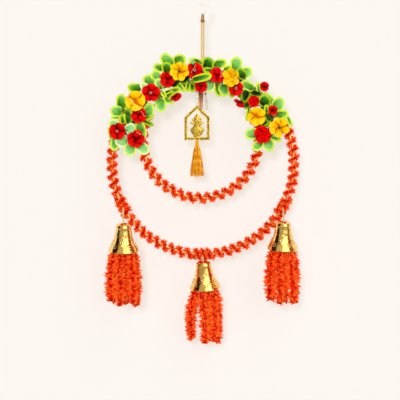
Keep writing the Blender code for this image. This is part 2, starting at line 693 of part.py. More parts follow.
add_pendant()
add_ribbon()
clear_start = Vector((3.4, 0.0, -112.0)) * MM
clear_end = Vector((5.6, 0.0, -130.0)) * MM
clear_places = [clear_start.lerp(clear_end, index / 4) for index in range(5)]
add_beads("clear_beads", 2.0 * MM, clear_places, BEAD_RADIUS, CLEAR, 6,
          clear_end - Vector((0, 0, 2.0 * MM)))
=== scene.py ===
"""Looks of a door hanging: two wound hoops under an arch of leaves and flowers, with bells below.

The sections follow the hanging as it is put together, from its cord to the pendant inside the hoops.
Metres, +Z up, and the front faces -Y.
"""
import math
from collections import namedtuple

import bpy
import numpy as np
from mathutils import Euler, Matrix, Vector
from mathutils.bvhtree import BVHTree


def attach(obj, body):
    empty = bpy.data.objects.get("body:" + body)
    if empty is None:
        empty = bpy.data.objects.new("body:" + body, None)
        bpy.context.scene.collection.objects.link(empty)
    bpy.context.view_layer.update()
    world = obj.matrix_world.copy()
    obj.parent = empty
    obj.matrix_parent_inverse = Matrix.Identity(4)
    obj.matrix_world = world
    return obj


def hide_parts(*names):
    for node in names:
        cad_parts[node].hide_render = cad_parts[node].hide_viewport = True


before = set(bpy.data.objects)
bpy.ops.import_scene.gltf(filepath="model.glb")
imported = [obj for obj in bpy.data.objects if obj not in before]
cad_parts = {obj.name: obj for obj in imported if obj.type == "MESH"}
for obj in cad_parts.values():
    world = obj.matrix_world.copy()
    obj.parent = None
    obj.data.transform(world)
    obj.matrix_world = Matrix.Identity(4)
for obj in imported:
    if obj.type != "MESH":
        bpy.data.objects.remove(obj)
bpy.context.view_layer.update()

# The eye
# It stands straight in front, level with the middle of the view, and so far off that the arch and
# the hoops behind it keep their places on each other.
MM = 0.001
EYE_DISTANCE = 2500 * MM
VIEW_WIDTH = 508 * MM
VIEW_CENTRE = Vector((-3.4, -10.0, -247.1)) * MM
SENSOR = 36.0

lens = bpy.data.cameras.new("eye")
lens.sensor_width = SENSOR
lens.lens = SENSOR * EYE_DISTANCE / VIEW_WIDTH
eye = bpy.data.objects.new("eye", lens)
eye.location = VIEW_CENTRE - Vector((0, EYE_DISTANCE, 0))
eye.rotation_euler = (math.radians(90), 0, 0)
bpy.context.scene.collection.objects.link(eye)
bpy.context.scene.camera = eye

# The hanging cord
# Gold-coloured cord of three plies laid round each other, doubled: it leaves the knot on the ring,
# runs down, passes round the top of the outer hoop and comes back up to the knot.
GAP = 0.3 * MM
CORD_RADIUS = 1.15 * MM
CORD_SPREAD = 1.35 * MM
CORD_BEND = 4.7 * MM
CORD_TOP = -20.6 * MM
CORD_EASE = -66.55 * MM
CORD_BEND_CENTRE = -82.55 * MM
CORD_LAY = 7 * MM
CORD_STRAIGHT_STEPS = 8


def paint(red, green, blue):
    """A linear colour from the screen values that a paint chart gives, 0 to 255."""
    shares = [value / 255 for value in (red, green, blue)]
    return (*(s / 12.92 if s < 0.04045 else ((s + 0.055) / 1.055) ** 2.4 for s in shares), 1.0)


class Level:
    """A socket that carries a number, for shader sums written as expressions."""

    def __init__(self, nodes, socket):
        self.nodes = nodes
        self.socket = socket

    def maths(self, operation, *terms):
        return self.nodes.make("Math", {"operation": operation}, dict(enumerate(terms)))

    def __add__(self, other):
        return self.maths("ADD", self, other)

    def __radd__(self, other):
        return self.maths("ADD", other, self)

    def __sub__(self, other):
        return self.maths("SUBTRACT", self, other)

    def __rsub__(self, other):
        return self.maths("SUBTRACT", other, self)

    def __mul__(self, other):
        return self.maths("MULTIPLY", self, other)

    def __rmul__(self, other):
        return self.maths("MULTIPLY", other, self)

    def __truediv__(self, other):
        return self.maths("DIVIDE", self, other)

    def wave(self):
        """The sine of the number."""
        return self.maths("SINE", self)

    def above(self, low, high):
        """A soft mask: 0 under low, 1 over high. With low over high it is turned round."""
        return self.nodes.make("MapRange", {"interpolation_type": "SMOOTHSTEP"},
                               {"Value": self, "From Min": low, "From Max": high})


class Nodes:
    """The node tree of a material or of the world, and the one method that makes its nodes."""

    def __init__(self, owner):
        owner.use_nodes = True
        self.tree = owner.node_tree

    def feed(self, socket, value):
        """Give a socket a number, a colour or a link."""
        if isinstance(value, Level):
            self.tree.links.new(value.socket, socket)
        else:
            socket.default_value = value

    def make(self, kind, settings, inputs, output=0):
        """Add a node with its settings and its sockets' values or links, and give one output."""
        node = self.tree.nodes.new("ShaderNode" + kind)
        for name, value in settings.items():
            if name == "stops":
                while len(node.color_ramp.elements) < len(value):
                    node.color_ramp.elements.new(1.0)
                for element, (place, colour) in zip(node.color_ramp.elements, value):
                    element.position = place
                    element.color = colour
            else:
                setattr(node, name, value)
        for name, value in inputs.items():
            self.feed(node.inputs[name], value)
        return Level(self, node.outputs[output])

    def mix(self, share, first, second):
        """A colour between two others."""
        return self.make("Mix", {"data_type": "RGBA"}, {0: share, 6: first, 7: second}, 2)

    def ramp(self, share, *stops):
        """A colour read from evenly or unevenly placed stops."""
        return self.make("ValToRGB", {"stops": stops}, {"Fac": share})

    def noise(self, size, detail=2.0, stretch=(1, 1, 1)):
        """Cloudy values about a size in metres, along the piece's own axes."""
        place = self.make("TexCoord", {}, {}, "Object")
        place = self.make("Mapping", {}, {"Vector": place, "Scale": stretch})
        return self.make("TexNoise", {}, {"Vector": place, "Scale": 1 / size, "Detail": detail})

    def measure(self, name):
        """A number that the mesh carries at each of its points."""
        return self.make("Attribute", {"attribute_name": name}, {}, "Fac")


class Finish(Nodes):
    """A procedural surface: a Principled shader, its fixed values and what varies over the piece."""

    def __init__(self, name, **fixed):
        self.look = bpy.data.materials.new(name)
        super().__init__(self.look)
        self.shader = self.tree.nodes["Principled BSDF"]
        for words, value in fixed.items():
            self.set(words, value)

    def set(self, words, value):
        """Feed the shader's socket of that name, written with underscores."""
        known = {socket.name.lower().replace(" ", "_"): socket for socket in self.shader.inputs}
        self.feed(known[words], value)

    def bump(self, height, depth, strength=1.0):
        """Fine relief from a height, with its depth in metres."""
        self.set("normal", self.make("Bump", {}, {"Height": height, "Distance": depth,
                                                  "Strength": strength}))


def grid_quads(rows, columns, wrap_rows=False, wrap_columns=True):
    """Faces between the points of a grid, given row by row."""
    row = np.arange(rows if wrap_rows else rows - 1)[:, None]
    column = np.arange(columns if wrap_columns else columns - 1)[None, :]
    here = row * columns + column
    right = row * columns + (column + 1) % columns
    up = (row + 1) % rows * columns + column
    up_right = (row + 1) % rows * columns + (column + 1) % columns
    return np.stack([here, right, up_right, up], -1).reshape(-1, 4)


class Skin:
    """Gathers the points, faces and point measures of a piece, which may be many small forms."""

    def __init__(self):
        self.points = []
        self.faces = {3: [], 4: []}
        self.measures = {}
        self.count = 0

    def add(self, points, quads=(), triangles=(), **measures):
        """Add points with faces that count from the first of them."""
        points = np.asarray(points, float).reshape(-1, 3)
        for faces in (quads, triangles):
            if len(faces):
                faces = np.asarray(faces)
                self.faces[faces.shape[1]].append(faces + self.count)
        for name, value in measures.items():
            value = np.broadcast_to(np.asarray(value, float).ravel(), (len(points),))
            self.measures.setdefault(name, []).append(value)
        self.points.append(points)
        self.count += len(points)

    def tube(self, rings, closed=False, **measures):
        """Add a skin through rings of points, with its two ends capped unless it closes on itself."""
        rings = np.asarray(rings, float)
        rows, columns = rings.shape[:2]
        if closed:
            self.add(rings, grid_quads(rows, columns, wrap_rows=True), **measures)
            return
        ends = [rings[0].mean(0), rings[-1].mean(0)]
        first, last = rows * columns, rows * columns + 1
        here = np.arange(columns)
        after = (here + 1) % columns
        top = (rows - 1) * columns
        caps = np.concatenate([
            np.stack([after, here, np.full(columns, first)], -1),
            np.stack([top + here, top + after, np.full(columns, last)], -1),
        ])
        for name, value in measures.items():
            value = np.broadcast_to(value, (rows, columns))
            measures[name] = np.append(value.ravel(), [value[0].mean(), value[-1].mean()])
        self.add(np.concatenate([rings.reshape(-1, 3), ends]), grid_quads(rows, columns), caps, **measures)

    def sheet(self, front, back, flip=False, **measures):
        """Add a thin closed sheet from the grids of points of its two faces."""
        rows, columns = front.shape[:2]
        size = rows * columns
        quads = grid_quads(rows, columns, wrap_columns=False)
        starts = np.arange(rows) * columns
        loop = np.concatenate([np.arange(columns), starts[1:] + columns - 1,
                               starts[-1] + np.arange(columns - 1)[::-1], starts[1:-1][::-1]])
        after = np.roll(loop, -1)
        edge_quads = np.stack([after, loop, loop + size, after + size], -1)
        faces = np.concatenate([quads, quads[:, ::-1] + size, edge_quads])
        measures = {name: np.tile(np.broadcast_to(value, (rows, columns)).ravel(), 2)
                    for name, value in measures.items()}
        self.add(np.concatenate([front.reshape(-1, 3), back.reshape(-1, 3)]),
                 faces[:, ::-1] if flip else faces, **measures)

    def tree(self):
        """The piece's surface for finding where a line meets it."""
        faces = [face for size in self.faces.values() for part in size for face in part.tolist()]
        return BVHTree.FromPolygons(np.concatenate(self.points).tolist(), faces)

    def piece(self, name, finish, slot, *stands_for):
        """Make the object, let it ride with the hanging and stand for its CAD nodes."""
        mesh = bpy.data.meshes.new(name)
        faces = [face for size in self.faces.values() for part in size for face in part.tolist()]
        mesh.from_pydata(np.concatenate(self.points).tolist(), [], faces)
        for measure, values in self.measures.items():
            held = mesh.attributes.new(measure, "FLOAT", "POINT")
            held.data.foreach_set("value", np.concatenate(values).astype(np.float32))
        mesh.materials.append(finish.look)
        mesh.shade_smooth()
        mesh.set_sharp_from_angle(angle=math.radians(42))
        made = bpy.data.objects.new(name, mesh)
        bpy.context.scene.collection.objects.link(made)
        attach(made, "root")
        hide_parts(*stands_for)
        return made


def smooth_route(points, step, closed=False):
    """Points about a step apart on a smooth curve through the given ones."""
    points = np.asarray([tuple(point) for point in points], float)
    if closed:
        near = np.concatenate([points[-1:], points, points[:2]])
    else:
        near = np.concatenate([2 * points[:1] - points[1:2], points, 2 * points[-1:] - points[-2:-1]])
    line = []
    for before, start, end, after in zip(near, near[1:], near[2:], near[3:]):
        count = max(1, round(np.linalg.norm(end - start) / step))
        share = (np.arange(count) / count)[:, None]
        line.append(0.5 * (2 * start + (end - before) * share
                           + (2 * before - 5 * start + 4 * end - after) * share ** 2
                           + (3 * start - before - 3 * end + after) * share ** 3))
    if not closed:
        line.append(points[-1:])
    return np.concatenate(line)


def unit(vectors):
    """The vectors at length one."""
    return vectors / np.maximum(np.linalg.norm(vectors, axis=-1, keepdims=True), 1e-12)


def frames_along(line, closed=False):
    """The way forward at each point of a line, and two ways across that turn as little as they can."""
    if closed:
        forward = unit(np.roll(line, -1, 0) - np.roll(line, 1, 0))
    else:
        forward = unit(np.gradient(line, axis=0))
    start = np.array((0.0, 1.0, 0.0)) if abs(forward[0][1]) < 0.9 else np.array((1.0, 0.0, 0.0))
    across = []
    side = start
    for way in forward:
        side = unit(side - way * (side @ way))
        across.append(side)
    across = np.array(across)
    return forward, across, np.cross(forward, across)


def round_rings(line, radii, columns, closed=False):
    """Rings of points round a line. The radii may vary by ring, or by ring and by point."""
    line = np.asarray(line, float)
    _, across, up = frames_along(line, closed)
    turn = 2 * np.pi * np.arange(columns) / columns
    radii = np.atleast_1d(np.asarray(radii, float))
    radii = np.broadcast_to(radii.reshape(len(radii), -1), (len(line), columns))
    spokes = across[:, None] * np.cos(turn)[:, None] + up[:, None] * np.sin(turn)[:, None]
    return line[:, None] + spokes * radii[..., None]


def length_along(line):
    """How far along the line each of its points lies."""
    return np.append(0.0, np.cumsum(np.linalg.norm(np.diff(line, axis=0), axis=1)))


def add_rope(skin, line, radius, lay, plies=3, closed=False):
    """A laid rope: round plies that turn once in each lay."""
    columns = 6 * plies
    far = length_along(line)
    if closed:
        lay = far[-1] / max(1, round(far[-1] / lay))
    turn = 2 * np.pi * np.arange(columns) / columns
    phase = plies / 2 * (turn[None, :] - 2 * np.pi * far[:, None] / lay)
    ridge = np.abs(np.cos(phase))
    skin.tube(round_rings(line, radius * (0.74 + 0.26 * ridge), columns, closed), closed, ridge=ridge)


def cord_finish(name, light, dark):
    """Shiny thread: light on the plies and dark between them as painted shade, with fine filaments."""
    finish = Finish(name, metallic=0.2)
    ridge = finish.measure("ridge")
    hair = finish.noise(0.5 * MM, 3.0, (1, 1, 0.25))
    # The grooves between the plies take the dark colour: painted shade.
    finish.set("base_color", finish.mix(ridge.above(0.15, 0.85) * (0.7 + 0.3 * hair), dark, light))
    finish.set("roughness", 0.28 + 0.25 * hair)
    finish.bump(hair, 0.1 * MM, 0.5)
    return finish


gold_cord = cord_finish("gold_cord", paint(255, 234, 164), paint(196, 140, 74))

cord_points = []
for index in range(CORD_STRAIGHT_STEPS + 1):
    drop = (CORD_EASE - CORD_TOP) * index / CORD_STRAIGHT_STEPS
    cord_points.append(Vector((-CORD_SPREAD, 0, CORD_TOP + drop)))
for share in (0.33, 0.67):
    depth = -CORD_BEND * share * share * (3 - 2 * share)
    cord_points.append(Vector((-CORD_SPREAD, depth, CORD_EASE + (CORD_BEND_CENTRE - CORD_EASE) * share)))
going_down = list(cord_points)
for index in range(7):
    turn = math.pi * index / 6
    across = CORD_SPREAD * (2 * index / 6 - 1)
    cord_points.append(Vector((across, -CORD_BEND * math.cos(turn),
                               CORD_BEND_CENTRE - CORD_BEND * math.sin(turn))))
cord_points.extend(Vector((-point.x, -point.y, point.z)) for point in reversed(going_down))
cord_line = smooth_route(cord_points, 0.5 * MM)
cord_skin = Skin()
add_rope(cord_skin, cord_line, CORD_RADIUS, CORD_LAY)
hanging_cord = cord_skin.piece("doubled_cord", gold_cord, "gold_cord", "hanging_cord")

# The knot
# The cord's two ends go round the ring side by side and are tied below it, wrapped tightly. The
# knot's thread is a darker copy of the cord's colours: painted shade, as the knot sits in shadow.
RING_RADIUS = 7.6 * MM
RING_THICKNESS = 1.9 * MM
RING_CENTRE = Vector((0.0, 0.0, RING_THICKNESS - RING_RADIUS))
KNOT_CORD = 0.78 * MM


def circle(centre, radius, normal, count, squash=1.0):
    """Points on a circle about a normal."""
    normal = Vector(normal).normalized()
    first = normal.orthogonal().normalized()
    second = normal.cross(first)
    turns = [2 * math.pi * index / count for index in range(count)]
    return np.array([tuple(Vector(centre) + (first * math.cos(t) + second * math.sin(t) * squash) * radius)
                     for t in turns])


# A darker copy of the cord's colours: painted shade on the knot.
shaded_knot_thread = cord_finish("knot_cord", paint(214, 142, 62), paint(96, 44, 6))
knot_skin = Skin()
grip = RING_CENTRE - Vector((0, 0, RING_RADIUS))
for side in (-1, 1):
    loop_centre = grip + Vector((side * 0.9 * MM, 0, -0.1 * MM))
    loop = circle(loop_centre, RING_THICKNESS + GAP + KNOT_CORD, (1, 0, 0.12 * side), 48)
    add_rope(knot_skin, loop, KNOT_CORD, 3 * MM, closed=True)
knot_top = grip.z - RING_THICKNESS - 2 * KNOT_CORD - GAP
for index in range(4):
    wrap_centre = Vector((0, 0, knot_top - (0.3 + 0.95 * index) * MM))
    wrap_radius = (1.5, 1.95, 1.95, 1.4)[index] * MM
    wrap = circle(wrap_centre, wrap_radius, (0.16 * (-1) ** index, 0.1, 1), 40)
    wrap[:, 0] *= 1.15
    add_rope(knot_skin, wrap, KNOT_CORD, 3 * MM, closed=True)
core = np.array([(0, 0, knot_top + 0.4 * MM), (0, 0, knot_top - 1.6 * MM), (0, 0, knot_top - 3.4 * MM)])
add_rope(knot_skin, smooth_route(core, 0.4 * MM), 1.3 * MM, 3 * MM)
knot_skin.piece("tied_knot", shaded_knot_thread, "gold_cord", "hanging_knot")

# The hanging ring
# A ring moulded in clear plastic, with a faint parting line round its outside, that goes over the
# hook.
clear = Finish("clear_plastic", base_color=paint(252, 249, 246), transmission_weight=1.0, ior=1.45)
clear.set("roughness", 0.04 + 0.08 * clear.noise(2 * MM))
clear.bump(clear.noise(1.2 * MM), 0.15 * MM, 0.4)
ring_line = circle(RING_CENTRE, RING_RADIUS, (0, 1, 0), 96)
ring_turn = 2 * np.pi * np.arange(32) / 32
ring_section = RING_THICKNESS * (1 - 0.05 * np.exp(-((np.abs(np.sin(ring_turn)) - 1) / 0.02) ** 2))
ring_skin = Skin()
ring_skin.tube(round_rings(ring_line, np.tile(ring_section, (96, 1)), 32, closed=True), closed=True)
ring_skin.piece("clear_ring", clear, "clear_plastic", "hanging_ring")

# The two hoops
# Steel wire bent to a circle and covered with gold foil, which is wound on as a narrow tape, each
# turn a little over the last.
HOOP_WIRE = 1.5 * MM
OUTER_RADIUS = 116.0 * MM
OUTER_CENTRE = Vector((0.3, 0.0, -200.3)) * MM
INNER_RADIUS = 73.8 * MM
INNER_CENTRE = Vector((-2.6, 0.0, -170.7)) * MM
FOIL_TURN = 3.6 * MM
FOIL_STEP = 0.6 * MM

foil = Finish("gold_foil", metallic=1.0)
foil_lap = foil.measure("lap")
crinkle = foil.noise(1.1 * MM, 3.0)
# The foil is painted dark on the low edge of each turn, where the next turn's step stands over it: painted
# shade.
foil.set("base_color", foil.mix(foil_lap.above(0.0, 0.25), paint(120, 78, 22), paint(250, 214, 130)))
foil.set("roughness", 0.12 + 0.25 * crinkle)
foil.bump(crinkle, 0.25 * MM, 0.5)


def add_hoop(name, centre, radius):
    """A foil-wound wire hoop."""
    count = round(2 * math.pi * radius / FOIL_STEP)
    line = circle(centre, radius, (0, 1, 0), count)
    turn = np.arange(12) / 12
    laps = round(2 * math.pi * radius / FOIL_TURN)
    lap = (np.arange(count)[:, None] * laps / count + turn[None, :]) % 1.0
    skin = Skin()
    skin.tube(round_rings(line, HOOP_WIRE * (0.95 + 0.07 * lap), 12, closed=True), closed=True, lap=lap)
    skin.piece(f"{name}_wire", foil, "gold_foil", name)


add_hoop("outer_hoop", OUTER_CENTRE, OUTER_RADIUS)
add_hoop("inner_hoop", INNER_CENTRE, INNER_RADIUS)

# The winding
# A strand of glossy cut strips in orange and red, held in a twisted core like tinsel, is wound
# round both hoops with the wire showing between its turns.
OUTER_PITCH = 10.8 * MM
INNER_PITCH = 12.0 * MM
WOUND_REACH = 4.3 * MM
GARLAND_START = 146.0
GARLAND_END = 399.0
INNER_GARLAND = (151.0, 389.0)
TIE_HALF_ANGLE = 4.2
TIE_CLEARANCE_ANGLE = 2.2
BELL_HOOP_ANGLES = {"left": 208.0, "middle": 269.6, "right": 331.2}
STRIP_STEP = 1.32 * MM
TUFTS_IN_STEP = 4
STRIPS_IN_TUFT = 4
TUFT_LEAN = 0.35
GOLDEN_TURN = 2.399963
dice = np.random.default_rng(7)


def fluff_finish(name, root, body, tip, end):
    """Cut strips: painted shade where they meet the core, bright towards the tips as painted highlight, burnt
    at the cut end, with a faint painted glow.
    """
    finish = Finish(name, specular_ior_level=0.05, emission_strength=0.2)
    along = finish.measure("along")
    tint = finish.measure("tint")
    cloud = finish.noise(5 * MM)
    # Darkest at the root, where shade falls in the pile, and brightest at the tips: painted shade and
    # highlight.
    deep = finish.ramp(along, (0.1, root), (0.7, body), (1.0, tip))
    warm = finish.ramp(along, (0.1, body), (0.6, tip), (1.0, end))
    cut = finish.mix((tint * 0.9 + cloud * 0.4).above(0.35, 0.95), deep, warm)
    finish.set("base_color", cut)
    # The strips give off their own colour faintly: a painted glow, not a lamp.
    finish.set("emission_color", cut)
    finish.set("roughness", 0.5 + 0.25 * tint)
    return finish


orange_fluff = fluff_finish("orange_fluff", paint(160, 4, 0), paint(240, 40, 0), paint(255, 112, 30),
                            paint(200, 130, 60))
red_fluff = fluff_finish("red_fluff", paint(160, 0, 0), paint(232, 14, 0), paint(255, 122, 40),
                         paint(210, 130, 56))


def add_strips(skin, roots, ways, sides, lengths, widths, bend, tint):
    """Tapered three-sided strips, all at once. Each leaves its root along its way and bends."""
    count = len(roots)
    lengths = np.broadcast_to(lengths, count)[:, None]
    widths = np.broadcast_to(widths, count)[:, None]
    thirds = np.cross(ways, sides)
    layers = []
    for share, spread in ((0.0, 0.7), (0.6, 1.0)):
        centre = roots + ways * lengths * share + bend * lengths * share ** 2
        half = widths * spread / 2
        layers.extend([centre + sides * half, centre + thirds * half * 0.55, centre - sides * half])
    layers.append(roots + ways * lengths + bend * lengths)
    points = np.stack(layers, 1)
    offset = 7 * np.arange(count)[:, None, None]
    quads = np.array([(0, 1, 4, 3), (1, 2, 5, 4), (2, 0, 3, 5)]) + offset
    triangles = np.array([(3, 4, 6), (4, 5, 6), (5, 3, 6), (0, 2, 1)]) + offset
    skin.add(points, quads.reshape(-1, 4), triangles.reshape(-1, 3),
             along=np.tile([0, 0, 0, 0.6, 0.6, 0.6, 1.0], count), tint=np.repeat(tint, 7))


def add_pile(skin, line, reach, width, core):
    """A fluffy strand along a line: tufts of strips stand out all round it and lean a little."""
    far = length_along(line)
    steps = np.repeat(np.arange(0, far[-1], STRIP_STEP), TUFTS_IN_STEP)
    steps = np.clip(steps + dice.uniform(-0.5, 0.5, len(steps)) * STRIP_STEP, 0, far[-1])

    def at_tufts(values):
        """What the line carries at its points, read at each tuft."""
        return np.stack([np.interp(steps, far, values[:, axis]) for axis in range(3)], -1)

    middle = at_tufts(line)
    forward, across, up = (at_tufts(part) for part in frames_along(line))
    reach = np.interp(steps, far, np.broadcast_to(reach, len(far)))
    # The core takes the strips' dark root colour: painted shade inside the pile.
    skin.tube(round_rings(line[::3], core, 8), along=0.0, tint=0.0)
    turn = GOLDEN_TURN * np.arange(len(steps)) + dice.normal(0, 0.25, len(steps))
    slant = dice.normal(0, TUFT_LEAN, len(steps))
    ways = unit(across * np.cos(turn)[:, None] + up * np.sin(turn)[:, None] + forward * slant[:, None])
    tall = reach * dice.uniform(0.78, 1.15, len(steps))
    tint = dice.random(len(steps))
    every = np.repeat(np.arange(len(steps)), STRIPS_IN_TUFT)
    count = len(every)
    roots = middle[every] + dice.normal(0, 0.16 * width, (count, 3))
    strip_ways = unit(ways[every] + dice.normal(0, 0.15, (count, 3)))
    sides = unit(np.cross(strip_ways, dice.normal(0, 1, (count, 3))))
    bend = dice.normal(0, 0.12, (count, 3))
    add_strips(skin, roots, strip_ways, sides, tall[every] * dice.uniform(0.8, 1.06, count),
               width * dice.uniform(0.6, 1.1, count), bend, 0.7 * tint[every] + 0.3 * dice.random(count))


def wound_line(centre, radius, start, end, turns, reach, first_turn=0.0):
    """The line of a strand wound round a hoop. In front it runs outwards."""
    count = max(12, round(abs(turns) * 36))
    share = np.arange(count + 1) / count
    around = 2 * np.pi * (first_turn + turns * share)
    along = np.radians(start + (end - start) * share)
    ring = radius + reach * np.cos(around)
    return np.stack([centre.x + ring * np.cos(along), centre.y + reach * np.sin(around),
                     centre.z + ring * np.sin(along)], -1)


def add_garland(name, centre, radius, start, end, pitch):
    """One stretch of winding between two ties."""
    turns = math.radians(end - start) * radius / pitch
    line = wound_line(centre, radius, start, end, turns, WOUND_REACH)
    skin = Skin()
    add_pile(skin, line, reach=4.5 * MM, width=1.35 * MM, core=1.5 * MM)
    skin.piece(f"{name}_strand", orange_fluff, "orange_fluff", name)


stops = [GARLAND_START]
for angle in BELL_HOOP_ANGLES.values():
    stops.append(angle - TIE_HALF_ANGLE - TIE_CLEARANCE_ANGLE)
    stops.append(angle + TIE_HALF_ANGLE + TIE_CLEARANCE_ANGLE)
stops.append(GARLAND_END)
for number, (start, end) in enumerate(zip(stops[::2], stops[1::2]), start=1):
    add_garland(f"outer_garland_{number}", OUTER_CENTRE, OUTER_RADIUS, start, end, OUTER_PITCH)
add_garland("inner_garland", INNER_CENTRE, INNER_RADIUS, *INNER_GARLAND, INNER_PITCH)

# The ties
# At each bell the strand is wound closely over itself, and a short gold cord goes down from under
# it through the hole in the bell's crown.
BELL_TILT = 12.5
BELL_HEIGHT = 36.0 * MM
TIE_TURNS = 2.4
TIE_FIRST_TURN = -0.95
TIE_REACH = 4.9 * MM
BELL_CORD = 1.15 * MM
Bell = namedtuple("Bell", "name crown roll")
BELLS = (
    Bell("left", Vector((-100.4, -16.2, -276.4)) * MM, 0.0),
    Bell("middle", Vector((0.6, -4.5, -324.5)) * MM, -4.0),
    Bell("right", Vector((102.4, -16.2, -273.8)) * MM, 2.0),
)


def bell_frame(bell):
    """The matrix that takes a bell's rim centre from the origin to its place."""
    lean = Euler((math.radians(BELL_TILT), math.radians(bell.roll), 0.0)).to_matrix().to_4x4()
    return Matrix.Translation(bell.crown) @ lean @ Matrix.Translation((0, 0, -BELL_HEIGHT))


for bell in BELLS:
    angle = BELL_HOOP_ANGLES[bell.name]
    tie_line = wound_line(OUTER_CENTRE, OUTER_RADIUS, angle - TIE_HALF_ANGLE - 1.2,
                          angle + TIE_HALF_ANGLE + 1.2, TIE_TURNS + 0.6, TIE_REACH, TIE_FIRST_TURN)
    tie_skin = Skin()
    add_pile(tie_skin, tie_line, reach=4.8 * MM, width=1.4 * MM, core=1.8 * MM)
    tie_skin.piece(f"bell_tie_{bell.name}_strand", red_fluff, "red_fluff", f"bell_tie_{bell.name}")
    hoop_x = OUTER_CENTRE.x + OUTER_RADIUS * math.cos(math.radians(angle))
    hoop_z = OUTER_CENTRE.z + OUTER_RADIUS * math.sin(math.radians(angle))
    root = Vector(((hoop_x + bell.crown.x) / 2, -4.5 * MM, hoop_z))
    inside = bell_frame(bell) @ Vector((0, 0, BELL_HEIGHT - 2.0 * MM))
    upward = (bell.crown - inside).normalized()
    short_cord = smooth_route([root, root.lerp(bell.crown, 0.5) + Vector((0, -1.5 * MM, 0)),
                               bell.crown + upward * 2 * MM, inside], 0.5 * MM)
    short_skin = Skin()
    add_rope(short_skin, short_cord, BELL_CORD, 5 * MM)
    short_skin.piece(f"bell_tie_{bell.name}_cord", gold_cord, "gold_cord", f"bell_tie_{bell.name}")

# The bells
# Thin plastic shells moulded with a rounded crown, a straight neck and a wide mouth, gilt all over
# and embossed on the flare with plain flowers and dots.
BELL_OUTSIDE = (
    (1.5, 36.0), (3.0, 35.9), (5.4, 35.4), (7.6, 34.6), (8.8, 33.8), (9.3, 32.9),
    (9.5, 31.4), (10.0, 27.3), (10.8, 22.8), (11.7, 17.6), (12.7, 14.3), (14.4, 10.4),
    (15.9, 7.8), (17.6, 5.2), (18.8, 3.2), (19.5, 1.6), (19.7, 0.5),
)
BELL_INSIDE = (
    (19.3, 0.0), (18.6, 0.6), (15.3, 5.9), (11.9, 11.8), (9.5, 18.0), (8.4, 27.0), (6.8, 32.6), (1.5, 34.8),
)
BELL_COLUMNS = 120
FLOWERS_ROUND_BELL = 5

gilt = Finish("gilt_plastic", metallic=1.0)
raised = gilt.measure("raised")
scuff = gilt.noise(4 * MM, 3.0)
ripple = gilt.noise(1.6 * MM, 1.0)
worn = gilt.mix(scuff.above(0.35, 0.75), paint(246, 200, 104), paint(255, 224, 142))
gilt.set("base_color", gilt.mix(raised.above(-0.02, -0.25), worn, paint(150, 96, 28)))
gilt.set("roughness", 0.05 + 0.10 * scuff)
gilt.bump(ripple, 0.3 * MM, 0.45)


def bell_relief(height, turn):
    """How far the emboss stands out at a height in millimetres and a turn round the bell."""
    share = (turn - math.radians(192)) * FLOWERS_ROUND_BELL / (2 * np.pi)
    across = ((share + 0.5) % 1.0 - 0.5) * 2 * np.pi * 14.0 / FLOWERS_ROUND_BELL
    rise = height - 11.5
    far = np.hypot(across, rise)
    petals = 2.6 + 0.9 * np.cos(6 * np.arctan2(rise, across))
    relief = 0.9 * np.clip((petals - far) / 0.5, 0, 1) - 0.7 * np.clip(1.0 - far, 0, 1)
    between = ((share % 1.0) - 0.5) * 2 * np.pi * 14.0 / FLOWERS_ROUND_BELL
    frond = np.hypot(between / 3.4, (height - 7.0) / 4.6)
    veins = np.cos(2.6 * (height - 0.8 * np.abs(between)))
    relief += 0.75 * np.clip((1 - frond) / 0.3, 0, 1) * (0.5 + 0.5 * veins)
    ring = np.hypot(across + 1.4, height - 18.5)
    relief += 0.55 * np.exp(-((ring - 1.3) / 0.4) ** 2)
    dots = np.cos(30 * turn) * np.exp(-((height - 3.2) / 0.6) ** 2)
    relief += 0.35 * np.clip(dots, 0, 1) + 0.3 * np.exp(-((height - 31.0) / 0.5) ** 2)
    return relief


def add_bell(bell):
    """One bell shell, its relief worked into the outside."""
    outside = smooth_route([(reach, 0, height) for reach, height in BELL_OUTSIDE], 0.55)
    inside = smooth_route([(reach, 0, height) for reach, height in BELL_INSIDE], 2.0)
    profile = np.concatenate([outside, inside])
    turn = 2 * np.pi * np.arange(BELL_COLUMNS) / BELL_COLUMNS
    relief = np.zeros((len(profile), BELL_COLUMNS))
    relief[:len(outside)] = bell_relief(outside[:, 2][:, None], turn[None, :])
    relief[:3] = 0
    reach = profile[:, 0][:, None] + relief
    rings = np.stack([reach * np.sin(turn), reach * np.cos(turn),
                      np.broadcast_to(profile[:, 2][:, None], reach.shape)], -1) * MM
    place = np.array(bell_frame(bell))
    rings = rings @ place[:3, :3].T + place[:3, 3]
    skin = Skin()
    skin.add(rings, grid_quads(len(profile), BELL_COLUMNS, wrap_rows=True)[:, ::-1], raised=relief.ravel())
    skin.piece(f"bell_{bell.name}_shell", gilt, "gilt_plastic", f"bell_{bell.name}")


for bell in BELLS:
    add_bell(bell)

# The bell tassels
# Seven lengths of the same fluffy strand, thicker, hang from a bound head that is caught inside
# each bell, and their cut tips stick out in tufts.
STRANDS = 6
TASSEL_LENGTH = 72.0 * MM
STRANDS_APART = (0.0, 1.0, -5.0, -1.7, 3.6, 0.0, 3.0)
STRAND_STEPS = ((24.0, 3.6, 1.8), (17.0, 5.2, 2.0), (7.0, 9.2, 3.0), (0.0, 12.4, 4.6), (-9.0, 14.8, 5.4))
FREE_SPREAD = 17.6 * MM
TUFT_SPACING = 7.0 * MM

